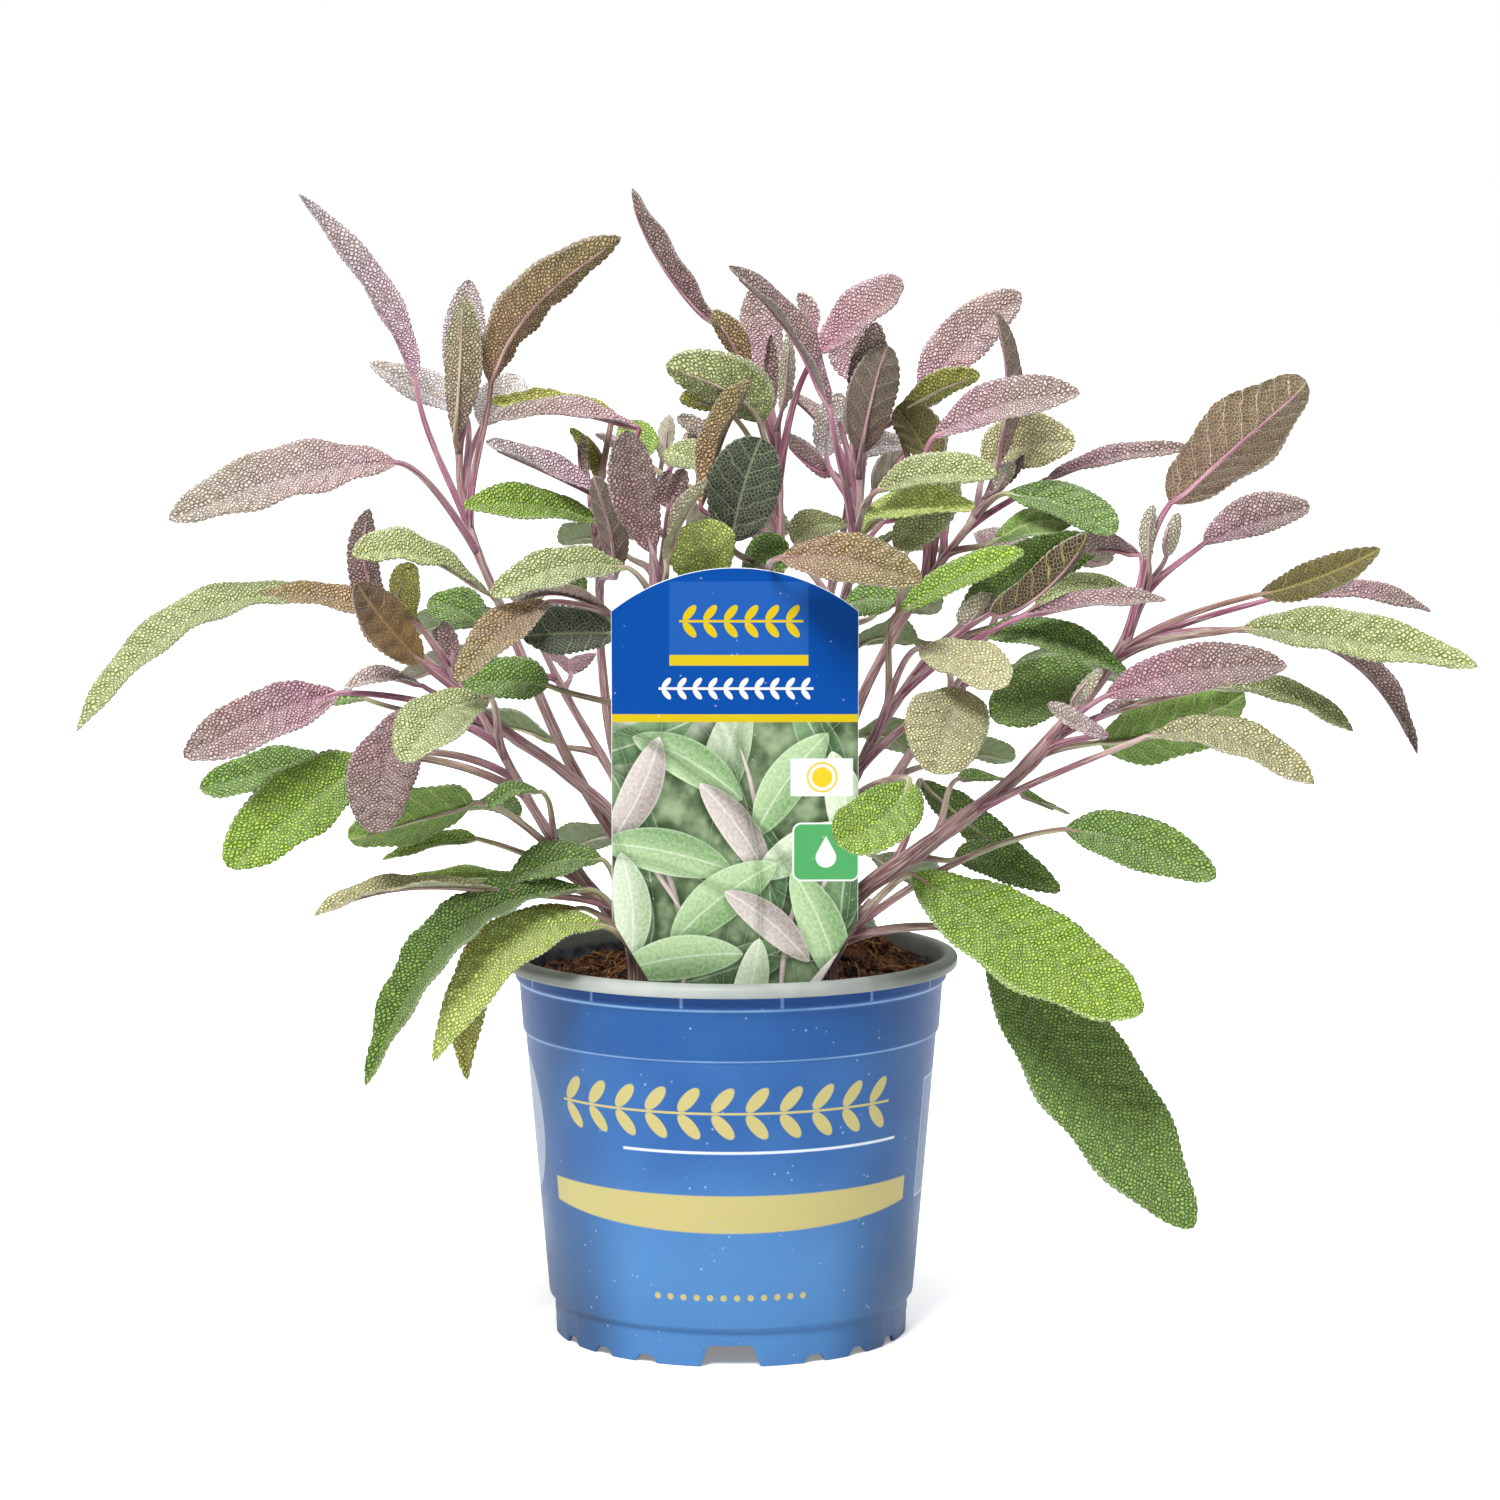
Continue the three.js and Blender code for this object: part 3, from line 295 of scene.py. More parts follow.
def shade(code):
    """A colour written as #rrggbb, as the linear values that shaders use."""
    part = np.array([int(code[i : i + 2], 16) for i in (1, 3, 5)]) / 255
    linear = np.where(part <= 0.04045, part / 12.92, ((part + 0.055) / 1.055) ** 2.4)
    return (*(float(x) for x in linear), 1.0)


def new_group(name, inputs, outputs):
    """An empty node group with named sockets. Returns the tree, its inputs as wires and its end node."""
    tree = bpy.data.node_groups.new(name, "ShaderNodeTree")
    for label, kind, value in inputs:
        socket = tree.interface.new_socket(label, in_out="INPUT", socket_type="NodeSocket" + kind)
        socket.default_value = value
    for label, kind in outputs:
        tree.interface.new_socket(label, in_out="OUTPUT", socket_type="NodeSocket" + kind)
    start = tree.nodes.new("NodeGroupInput")
    end = tree.nodes.new("NodeGroupOutput")
    return tree, {label: Wire(tree, start.outputs[label]) for label, _, _ in inputs}, end


def use_group(tree, group, **inputs):
    """Places a group in a material or another group. Returns its outputs as wires, by name."""
    made = tree.nodes.new("ShaderNodeGroup")
    made.node_tree = group
    for name, value in inputs.items():
        plug(tree, value, made.inputs[name.replace("_", " ")])
    return {out.name: Wire(tree, out) for out in made.outputs}


def new_material(name, **fixed):
    """A material with its Principled shader, whose fixed values are set on the shader's own sockets."""
    material = bpy.data.materials.new(name)
    material.use_nodes = True
    tree = material.node_tree
    shader = tree.nodes["Principled BSDF"]
    for label, value in fixed.items():
        shader.inputs[label.replace("_", " ")].default_value = value
    return material, tree, shader


def raise_surface(tree, shader, height, distance):
    """Feeds a height from 0 to 1 to the shader's normal through a Bump node. Distance is in metres."""
    bump = tree.nodes.new("ShaderNodeBump")
    bump.inputs["Distance"].default_value = distance
    plug(tree, height, bump.inputs["Height"])
    tree.links.new(bump.outputs["Normal"], shader.inputs["Normal"])


print("wires: formulas can now be written as nodes")

# %% [markdown]
# ## From a grid of points to a piece
#
# Nearly everything here is a skin over rings: a stem is a row of round rings, a leaf is a row of flat
# ones, the pot is one profile turned round its axis. `ring_shell` joins such a grid with faces and closes
# its two ends. A piece can hold several shells, such as a stem and its leaves.

# %% Shells and pieces
def ring_faces(rings, around):
    """Four-sided faces over a grid of rings, each joined all the way round: the corners of the face at
    (ring i, place j) are (i, j), (i+1, j), (i+1, j+1) and (i, j+1). Faces point outwards when the places
    run clockwise as seen from the last ring."""
    i, j = np.meshgrid(np.arange(rings - 1), np.arange(around), indexing="ij")
    a = (i * around + j).ravel()
    b = (i * around + (j + 1) % around).ravel()
    return np.stack([a, a + around, b + around, b], -1)


def fan(start, around, centre, turned):
    """Triangles from a centre point to one ring."""
    j = np.arange(around)
    first, second = start + j, start + (j + 1) % around
    if turned:
        first, second = second, first
    return np.stack([np.full(around, centre), first, second], -1)


def ring_shell(points, material=0, **fields):
    """A closed shell over points[ring, place, xyz]. Each field holds a value for every point, such as its
    colour. Both ends are closed by a fan round their middle."""
    rings, around = points.shape[:2]
    ends = points[[0, -1]].mean(1)
    last = rings * around
    faces = ring_faces(rings, around)
    fans = np.concatenate([fan(0, around, last, False), fan(last - around, around, last + 1, True)])
    values = {}
    for name, value in fields.items():
        flat = value.reshape(last, -1)
        values[name] = np.concatenate([flat, value[[0, -1]].reshape(2, around, -1).mean(1)])
    return {
        "points": np.concatenate([points.reshape(-1, 3), ends]),
        "faces": [faces, fans],
        "material": material,
        "fields": values,
    }


def six_volumes(points, faces):
    """Six times the signed volume inside triangles: the sum of a . (b x c) over their corners."""
    a, b, c = (points[faces[:, k]] for k in range(3))
    return float((a * np.cross(b, c)).sum())


def make_piece(name, shells, materials, replaced):
    """Joins shells into one mesh, with the fields as attributes: four numbers are a colour, two a UV map,
    and one is a plain number."""
    offsets = np.cumsum([0] + [len(s["points"]) for s in shells])
    points = np.concatenate([s["points"] for s in shells])
    groups = [(f + o, s["material"]) for s, o in zip(shells, offsets) for f in s["faces"]]
    corners = np.concatenate([f.ravel() for f, _ in groups]).astype(np.int32)
    sides = np.concatenate([np.full(len(f), f.shape[1]) for f, _ in groups])
    slots = np.concatenate([np.full(len(f), m) for f, m in groups]).astype(np.int32)
    mesh = bpy.data.meshes.new(name)
    mesh.vertices.add(len(points))
    mesh.vertices.foreach_set("co", points.astype(np.float32).ravel())
    mesh.loops.add(len(corners))
    mesh.loops.foreach_set("vertex_index", corners)
    mesh.polygons.add(len(sides))
    mesh.polygons.foreach_set("loop_start", np.concatenate([[0], np.cumsum(sides)[:-1]]).astype(np.int32))
    mesh.polygons.foreach_set("material_index", slots)
    mesh.polygons.foreach_set("use_smooth", np.ones(len(sides), bool))
    for field in shells[0]["fields"]:
        value = np.concatenate([s["fields"][field] for s in shells]).astype(np.float32)
        if value.shape[1] == 4:
            layer = mesh.color_attributes.new(field, "FLOAT_COLOR", "POINT")
            layer.data.foreach_set("color", value.ravel())
        elif value.shape[1] == 2:
            mesh.uv_layers.new(name=field).data.foreach_set("uv", value[corners].ravel())
        else:
            mesh.attributes.new(field, "FLOAT", "POINT").data.foreach_set("value", value.ravel())
    mesh.update(calc_edges=True)
    for material in materials:
        mesh.materials.append(material)
    piece = bpy.data.objects.new(name, mesh)
    bpy.context.scene.collection.objects.link(piece)
    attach(piece, "root")
    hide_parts(replaced)
    triangles = int((sides - 2).sum())
    volume = sum(
        six_volumes(points, f[:, [0, k, k + 1]]) for f, _ in groups for k in range(1, f.shape[1] - 1)
    )
    print(f"{name}: {triangles} triangles, volume {volume / 6 * 1e6:.2f} cm3")
    return piece


def smooth(x, low=0.0, high=1.0):
    """The smooth step 3t^2 - 2t^3, with t going from 0 to 1 while x goes from low to high."""
    t = np.clip((x - low) / (high - low), 0, 1)
    return t * t * (3 - 2 * t)


def unit(v):
    return v / np.linalg.norm(v, axis=-1, keepdims=True)


def lattice(x, y, seed):
    """A random number from 0 to 1 for each whole-numbered place, always the same for the same place."""
    n = np.sin(x * 127.1 + y * 311.7 + seed * 74.7) * 43758.5453
    return n - np.floor(n)


def soft_noise(x, y, seed=0):
    """Value noise: random numbers at whole places, joined by smooth steps. Goes from 0 to 1."""
    i, j = np.floor(x), np.floor(y)
    u, v = smooth(x - i), smooth(y - j)
    low = lattice(i, j, seed) * (1 - u) + lattice(i + 1, j, seed) * u
    high = lattice(i, j + 1, seed) * (1 - u) + lattice(i + 1, j + 1, seed) * u
    return low * (1 - v) + high * v


def pebbles(x, y, seed=0):
    """Rounded cells: 1 at the middle of each cell and 0 on the creases between them. The distances to
    the nearest and second nearest of the points scattered one to each unit square are compared."""
    i, j = np.floor(x), np.floor(y)
    near = np.full(x.shape, 9.0)
    next_near = near.copy()
    for di in (-1, 0, 1):
        for dj in (-1, 0, 1):
            px = i + di + 0.15 + 0.7 * lattice(i + di, j + dj, seed)
            py = j + dj + 0.15 + 0.7 * lattice(i + di, j + dj, seed + 5)
            d = np.hypot(x - px, y - py)
            next_near = np.minimum(next_near, np.maximum(near, d))
            near = np.minimum(near, d)
    return smooth(next_near - near, 0.0, 0.55)


print("helpers: grids of points become pieces")

# %% [markdown]
# ## The pot
#
# Such pots are formed from one thin heated sheet, so everything on them is soft-edged: two pressed rings, a
# rolled rim, and a skirt whose notches let water out. A modeller would turn a profile round an axis with
# the Screw modifier. Here the same is done with arrays: every corner of the profile is rounded by a short
# curve, and each point becomes a ring. The notches are part of the formula: the skirt's lower edge is
# lifted where a notch is. The drain holes are the one cut, made with a Boolean modifier.

# %% The pot's shape
POT_TURNS = 300  # points round the pot
SKIRT = (46.8, 9.2)  # mm: radius, and the height up to which the notches reach
TALL_NOTCH = (5.5, 5.5, 8.0)  # mm: height, and half its width at the top and at the table
LOW_NOTCH = (2.0, 2.0, 2.9)
LOW_NOTCH_TURNS = (28, 45, 62)  # degrees past each tall notch
DRAIN_HOLES, DRAIN_RADIUS, DRAIN_RING = 6, 4.0, 30.0
FLOOR_MIDDLE, DRILL_LENGTH = 6.5, 4.0  # mm: the height of the floor's middle, and the drills' length
POT_PROFILE = [
    # radius and height in mm, radius of the rounding, and the zone: 0 outside, 1 rim, 2 inside
    (0.3, 0, 0, 0), (9, 0, 1.0, 0), (10.5, 6, 1.2, 0), (45.8, 6, 0.7, 0), (45.8, 0, 0.4, 0),
    (46.8, 0, 0.4, 0), (46.8, 9.2, 0.6, 0), (48.3, 10, 0.8, 0), (54.3, 80, 0.5, 0), (55.0, 80.9, 0.5, 0),
    (55.9, 93.2, 0.5, 0), (57, 94.5, 0.6, 0), (57, 97.4, 0.3, 0), (59.6, 97.4, 0.5, 1), (60, 99.9, 1.2, 1),
    (58.4, 101, 0.8, 1), (56.6, 101, 0.8, 1), (55.9, 99.6, 0.9, 1), (54.9, 93.2, 0.8, 2),
    (53.3, 80, 0.8, 2), (45.8, 7, 1.6, 2), (10, 7, 1.2, 2), (8.5, 1, 1.0, 2), (0.3, 1, 0, 2),
]


def rounded(profile, steps=4, longest=12.0):
    """A profile whose corners are short quadratic curves: each starts and ends one radius from the corner
    and bends towards it. Straight stretches get a point every few mm."""
    corner = np.array(profile, float)
    line = [(*corner[0, :2], corner[0, 3])]
    for before, here, after in zip(corner, corner[1:], corner[2:]):
        step_in, step_out = here[:2] - before[:2], after[:2] - here[:2]
        room = 0.48 * min(np.linalg.norm(step_in), np.linalg.norm(step_out))
        radius = min(here[2], room)
        a, b = here[:2] - unit(step_in) * radius, here[:2] + unit(step_out) * radius
        t = np.linspace(0, 1, steps)[:, None]
        bend = (1 - t) ** 2 * a + 2 * t * (1 - t) * here[:2] + t**2 * b
        line += [(*p, here[3]) for p in bend]
    line = np.array(line + [(*corner[-1, :2], corner[-1, 3])])
    filled = [line[0]]
    for a, b in zip(line, line[1:]):
        pieces = max(1, int(np.ceil(np.hypot(b[0] - a[0], b[1] - a[1]) / longest)))
        filled += [a + (b - a) * k / pieces for k in range(1, pieces + 1)]
    return np.array(filled)


def notch_height(turn):
    """How far the skirt's edge is lifted at an angle: flat-topped notches with slanting sides."""
    lift = np.zeros_like(turn)
    for quarter in range(4):
        for shape, extra in ((TALL_NOTCH, 0), *((LOW_NOTCH, step) for step in LOW_NOTCH_TURNS)):
            centre = np.radians(-90 + 90 * quarter + extra)
            away = np.abs((turn - centre + np.pi) % (2 * np.pi) - np.pi) * SKIRT[0]
            height, top, bottom = shape
            lift = np.maximum(lift, height * smooth(away, bottom, top))
    return lift


def pot():
    profile = rounded(POT_PROFILE)
    turn = np.linspace(0, 2 * np.pi, POT_TURNS, endpoint=False)
    radius, height, zone = (profile[:, k][:, None] for k in range(3))
    top = np.where(radius < SKIRT[0] - 0.5, POT_PROFILE[3][1], SKIRT[1])
    share = np.where(radius > 40, np.clip(1 - height / top, 0, 1), 0)
    z = height + notch_height(turn)[None, :] * share
    points = np.stack([radius * np.cos(turn), radius * np.sin(turn), z + 0 * turn], -1)
    zones = np.broadcast_to(zone[..., None], points.shape[:2] + (1,))
    return ring_shell(points[:, ::-1] * MM, 0, zone=zones)


def drilled(piece):
    """The piece with its drain holes, by a Boolean with all the drills at once, applied to the mesh."""
    drills = []
    for k in range(DRAIN_HOLES):
        turn = np.radians(360 / DRAIN_HOLES * (k + 0.5))
        place = np.array([DRAIN_RING * np.cos(turn), DRAIN_RING * np.sin(turn), FLOOR_MIDDLE]) * MM
        bpy.ops.mesh.primitive_cylinder_add(
            vertices=32, radius=DRAIN_RADIUS * MM, depth=DRILL_LENGTH * MM, location=place
        )
        drills.append(bpy.context.object)
    bpy.ops.object.select_all(action="DESELECT")
    for drill in drills:
        drill.select_set(True)
    bpy.context.view_layer.objects.active = drills[0]
    bpy.ops.object.join()
    cut = piece.modifiers.new("drain holes", "BOOLEAN")
    cut.solver = "MANIFOLD"
    cut.object = drills[0]
    bpy.context.view_layer.update()
    graph = bpy.context.evaluated_depsgraph_get()
    mesh = bpy.data.meshes.new_from_object(piece.evaluated_get(graph))
    piece.modifiers.clear()
    piece.data = mesh
    bpy.data.objects.remove(drills[0])
    triangles = sum(len(face.vertices) - 2 for face in mesh.polygons)
    print(f"{piece.name}: {triangles} triangles with its drain holes")


# %% [markdown]
# ## The pot's finish
#
# The blue plastic is satin, with a very fine grain, pale specks, and whitish stress lines where the
# hot sheet was bent most, at the two rings. The rim is grey. The print is a plain yellow band, a thin white
# line under a garland of leaves, and a row of dots, with a pale oval and a panel at the sides. All of them
# are formulas of the height and of the distance round the wall.

# %% A printed garland
def garland_group():
    """A mask of a straight twig with pairs of slanting leaves, from the place along and across it in mm."""
    inputs = [
        ("Along", "Float", 0.0),
        ("Across", "Float", 0.0),
        ("Pitch", "Float", 6.0),
        ("Length", "Float", 3.4),
    ]
    tree, use, end = new_group("printed_garland", inputs, [("Mask", "Float")])
    place = use["Along"].math("DIVIDE", use["Pitch"])
    local = (place.math("FRACT") - 0.5) * use["Pitch"]
    side = use["Across"].size() - use["Length"] * 0.55
    lean, stand = 0.64, 0.77  # cosine and sine of the leaves' slant
    long_way = local * lean + side * stand
    wide_way = local * stand - side * lean
    long_part = long_way.math("DIVIDE", use["Length"] * 0.62)
    wide_part = wide_way.math("DIVIDE", use["Length"] * 0.27)
    inside = (long_part * long_part + wide_part * wide_part).ramp(0.85, 1.1, 1.0, 0.0)
    twig = use["Across"].size().ramp(0.22, 0.4, 1.0, 0.0)
    plug(tree, inside.math("MAXIMUM", twig), end.inputs["Mask"])
    return tree


GARLAND = garland_group()


# %% The pot's material
WALL = 51.0  # mm: the radius at which distances round the wall are counted
COLLAR = (94.4, 97.6)  # mm: the strip under the rim
TICK_STEP = 23.0  # mm between the fine upright lines on it
PRESSED_RINGS = (80.35, 80.75), (93.5, 94.1)  # mm: heights at which the sheet was bent most
GARLAND_HEIGHT, GARLAND_SPAN = 67.0, (-48.0, 44.4)
LINE_HEIGHT, LINE_SPAN = (56.4, 57.1), (-28.0, 48.0)
BAND_LOW, BAND_SAG, BAND_TOP, BAND_HALF = 35.6, 0.0012, 45.2, 54.6
DOT_STEP, DOT_HEIGHT, DOTS_HALF = 3.6, 18.5, 21.6
OVAL = (-74.0, 57.0, 13.0, 18.0)  # mm: its middle round the wall and up, half its width and height
PANEL = (63.0, 87.0, 38.0, 70.0)  # mm: its left, right, lower and upper edge
PANEL_FRAME = 0.6
FAR_ROUND = 300.0  # mm: keeps the garland's distances above zero all the way round


def wall_colour(tree, around, z, cloud):
    """The blue sheet: cloudy, and whitish where it was bent. Painted light makes it lighter towards the
    foot at the front; painted shade makes it greyer at the sides, and deeper above the upper ring and on
    the collar."""
    front = around.size().ramp(24.0, 52.0, 1.0, 0.0)
    blue = mixed(tree, cloud.ramp(0.3, 0.7), shade("#27599a"), shade("#3166a5"))
    # Painted light: towards the foot, the front of the wall is painted lighter.
    blue = mixed(tree, z.ramp(66, 24, 0.0, 0.6) * front, blue, shade("#5a92c8"))
    # Painted shade: the sides are painted a darker grey-blue, more so towards the foot.
    blue = mixed(tree, (1.0 - front) * z.ramp(60, 12, 0.25, 0.7), blue, shade("#35506c"))
    # Painted shade: above the upper ring the blue is painted deeper, and on the collar under the rim deeper
    # still.
    blue = mixed(tree, z.ramp(79.5, 81.5, 0.0, 0.6), blue, shade("#0f4a8a"))
    collar = z.between(*COLLAR, 0.25)
    blue = mixed(tree, collar, blue, shade("#0a4488"))
    upper, lower = (z.between(*ring, blur) for ring, blur in zip(PRESSED_RINGS, (0.2, 0.25)))
    stress = upper.math("MAXIMUM", lower)
    blue = mixed(tree, stress * cloud.ramp(0.2, 0.7, 0.35, 0.9), blue, shade("#8fbdea"))
    ticks = (around * (1 / TICK_STEP)).math("FRACT").between(0.5, 0.53, 0.012) * collar
    return mixed(tree, ticks * 0.5, blue, shade("#8fbdea"))


def yellow_print(tree, around, z):
    """Where the yellow ink is: the band, its lower edge bent towards the ends, the garland and the dots."""
    across = around.size()
    low_edge = (across * across) * BAND_SAG + BAND_LOW
    band = (z - low_edge).ramp(-0.25, 0.25) * z.ramp(BAND_TOP, BAND_TOP + 0.5, 1.0, 0.0)
    band = band * across.ramp(BAND_HALF, BAND_HALF + 0.5, 1.0, 0.0)
    height = z - GARLAND_HEIGHT
    leaves = use_group(tree, GARLAND, Along=around + FAR_ROUND, Across=height, Pitch=8.4, Length=6.4)
    leaves = leaves["Mask"] * around.between(*GARLAND_SPAN, 0.05)
    step = (around * (1 / DOT_STEP)).math("FRACT") * DOT_STEP - DOT_STEP / 2
    dots = joined(tree, step, z - DOT_HEIGHT).reach()
    dots = dots.ramp(0.75, 0.95, 1.0, 0.0) * around.between(-DOTS_HALF, DOTS_HALF, 0.05)
    return band.math("MAXIMUM", leaves).math("MAXIMUM", dots)


def pale_fields(around, z):
    """The oval at one side, and at the other a panel whose frame is stronger than its field."""
    oval_x, oval_z = (around - OVAL[0]) * (1 / OVAL[2]), (z - OVAL[1]) * (1 / OVAL[3])
    oval = (oval_x * oval_x + oval_z * oval_z).ramp(0.96, 1.04, 1.0, 0.0)
    left, right, low, high = PANEL
    whole = around.between(left, right, 0.15) * z.between(low, high, 0.15)
    field = around.between(left + PANEL_FRAME, right - PANEL_FRAME, 0.15)
    field = field * z.between(low + PANEL_FRAME, high - PANEL_FRAME, 0.15)
    return (oval * 0.6).math("MAXIMUM", whole * 0.7 - field * 0.45)


def pot_material():
    material, tree, shader = new_material("pot_plastic", Specular_IOR_Level=0.25)
    x, y, z = (part * 1000.0 for part in coordinates(tree).parts())
    around = x.math("ARCTAN2", -y) * WALL
    across = around.size()
    here = coordinates(tree)
    cloud = noise(tree, here, 38, 3.0)
    grain = noise(tree, here, 2400, 2.0, 0.6)
    specks = cells(tree, here, 420).ramp(0.10, 0.16, 1.0, 0.0)
    specks = specks * noise(tree, here, 130, 1.0).ramp(0.56, 0.66)
    blue = wall_colour(tree, around, z, cloud)
    print_wear = specks.ramp(0.0, 1.0, 1.0, 0.5) * grain.ramp(0.2, 0.34)
    blue = mixed(tree, yellow_print(tree, around, z) * print_wear, blue, shade("#bdb274"))
    line = z.between(*LINE_HEIGHT, 0.15) * around.between(*LINE_SPAN, 0.3)
    blue = mixed(tree, line * 0.85, blue, shade("#e4ecf2"))
    blue = mixed(tree, specks * 0.45, blue, shade("#bfd4e8"))
    blue = mixed(tree, pale_fields(around, z), blue, shade("#c3d0de"))
    # Painted reflection: pale soft patches low on both sides of the wall, where the lights are mirrored in
    # the plastic.
    painted_side_reflection = across.ramp(56.0, 72.0) * z.between(30.0, 34.0, 12.0)
    blue = mixed(tree, painted_side_reflection * 0.5, blue, shade("#c3d0de"))
    grey = mixed(tree, cloud.ramp(0.35, 0.65), shade("#959b98"), shade("#b3b9b5"))
    # Painted shade: the rim's sides are painted darker than its front.
    grey = mixed(tree, across.ramp(20.0, 60.0) * 0.7, grey, shade("#545a52"))
    # The inner wall's dark grey-blue is painted shade inside the rim; over it go real smears of peat.
    inner = mixed(tree, cloud.ramp(0.35, 0.65), shade("#45525e"), shade("#5d6b77"))
    dirt = noise(tree, here, 260, 4.0, 0.7).ramp(0.42, 0.56)
    inner = mixed(tree, dirt * 0.8, inner, shade("#2c2019"))
    zone = attribute(tree, "zone")
    colour = mixed(tree, zone.ramp(0.3, 0.7), blue, grey)
    colour = mixed(tree, zone.ramp(1.3, 1.7), colour, inner)
    plug(tree, colour, shader.inputs["Base Color"])
    plug(tree, grain.ramp(0.3, 0.7, 0.32, 0.46), shader.inputs["Roughness"])
    raise_surface(tree, shader, grain * 0.6 + cloud * 0.4, 0.00012)
    return material


pot_piece = make_piece("nursery_pot", [pot()], [pot_material()], "pot")
drilled(pot_piece)

# %% [markdown]
# ## The peat
#
# Potting peat is a dark crumbly bed with reddish fibres in it. Thousands of loose grains would be far too
# heavy, so the bed is one surface, a height for each place: the mound of the plain solid, with lumps of
# three sizes on it. Only the top layer is loose: small twenty-sided stones pushed out of round, and thin
# bent strands, all joined into the one piece.

# %% The bed
SOIL_EDGE, SOIL_RADIUS = 92.5, 54.2  # mm: the even bed's height, and how wide it is
SOIL_FOOT, SOIL_SHOULDER = 8.0, 60.0  # mm: heights of the underside and of a ring halfway up
SOIL_RINGS, SOIL_TURNS = 76, 240


def soil_height(x, y):
    """An even bed, one wide mound, two small waves, and lumps of three sizes."""
    away = (x - 16) ** 2 + (y - 12) ** 2
    mound = 15 * np.exp(-away / (2 * 20**2))
    waves = 0.8 * np.sin(x / 4.1 + 1.3) * np.cos(y / 3.7) + 0.5 * np.sin((x + y) / 2.3)
    lumps = 2.2 * (soft_noise(x / 4.5, y / 4.5, 1) - 0.5) + 1.3 * (pebbles(x / 2.6, y / 2.6, 2) - 0.5)
    return SOIL_EDGE + mound + waves + lumps + 0.8 * (soft_noise(x / 1.1, y / 1.1, 4) - 0.5)


def peat_paint(share, warmth):
    """From nearly black to a reddish brown, and on to a straw colour where the warmth is high."""
    dark, brown, straw = (np.array(shade(code)) for code in ("#1e120c", "#7c4c34", "#cf9a60"))
    colour = dark + (brown - dark) * share[..., None]
    return colour + (straw - colour) * warmth[..., None]


def bed():
    """Rings from the underside's middle, up the side, and in over the top to a small closed hole."""
    share = np.linspace(1, 0.012, SOIL_RINGS)[:, None]
    turn = np.linspace(0, 2 * np.pi, SOIL_TURNS, endpoint=False)[None, :]
    x, y = SOIL_RADIUS * share * np.cos(turn), SOIL_RADIUS * share * np.sin(turn)
    surface = np.stack([x, y, soil_height(x, y)], -1)
    low = surface[:1] * [0.9, 0.9, 0] + [0, 0, SOIL_SHOULDER]
    floor = surface[:1] * [0.84, 0.84, 0] + [0, 0, SOIL_FOOT]
    centre = floor * [0.02, 0.02, 1]
    points = np.concatenate([centre, floor, low, surface])
    tone = smooth(soft_noise(points[..., 0] / 2.2, points[..., 1] / 2.2, 6), 0.35, 0.95)
    return ring_shell(points[:, ::-1] * MM, 0, paint=peat_paint(tone, 0.12 * tone))


# %% Crumbs and fibres
CRUMBS, FIBRES = 900, 1000
NEIGHBOURS = 2.1  # corners of the icosahedron that share an edge are 2 apart
FIBRE_THICKNESS = np.array([0.5, 0.9, 1, 0.9, 0.5])  # from end to end
scatter = np.random.default_rng(11)


def on_soil(count, reach):
    """Random places on the bed, spread evenly over its area: hence the square root."""
    radius = reach * np.sqrt(scatter.random(count))
    turn = scatter.uniform(0, 2 * np.pi, count)
    x, y = radius * np.cos(turn), radius * np.sin(turn)
    return np.stack([x, y, soil_height(x, y)], -1)


def loose(points, faces, paint):
    """The form in which make_piece takes loose bits."""
    return {"points": points * MM, "faces": faces, "material": 0, "fields": {"paint": paint}}


def crumbs():
    """Copies of an icosahedron, each with its own size, its corners pushed in and out."""
    golden = (1 + 5**0.5) / 2
    corner = np.array([(s, t * golden) for s in (1, -1) for t in (1, -1)])
    ball = np.concatenate([np.roll(np.insert(corner, 0, 0, axis=1), k, axis=1) for k in range(3)])
    near = np.linalg.norm(ball[:, None] - ball[None], axis=-1)
    faces = [
        (i, j, k)
        for i in range(12)
        for j in range(i + 1, 12)
        for k in range(j + 1, 12)
        if max(near[i, j], near[j, k], near[i, k]) < NEIGHBOURS
    ]
    faces = np.array([f if np.linalg.det(ball[list(f)]) > 0 else (f[0], f[2], f[1]) for f in faces])
    place = on_soil(CRUMBS, SOIL_RADIUS - 2)
    size = 0.35 + 1.1 * scatter.random(CRUMBS) ** 2.5
    shape = ball[None] * scatter.uniform(0.7, 1.3, (CRUMBS, 12, 3)) / 1.9
    points = (place[:, None] + shape * size[:, None, None] + np.array([0, 0, 0.3])).reshape(-1, 3)
    tone = np.repeat(scatter.random(CRUMBS) ** 1.5, 12)
    warmth = np.repeat(0.35 * scatter.random(CRUMBS) ** 4, 12)
    all_faces = (faces[None] + 12 * np.arange(CRUMBS)[:, None, None]).reshape(-1, 3)
    return loose(points, [all_faces], peat_paint(tone, warmth))


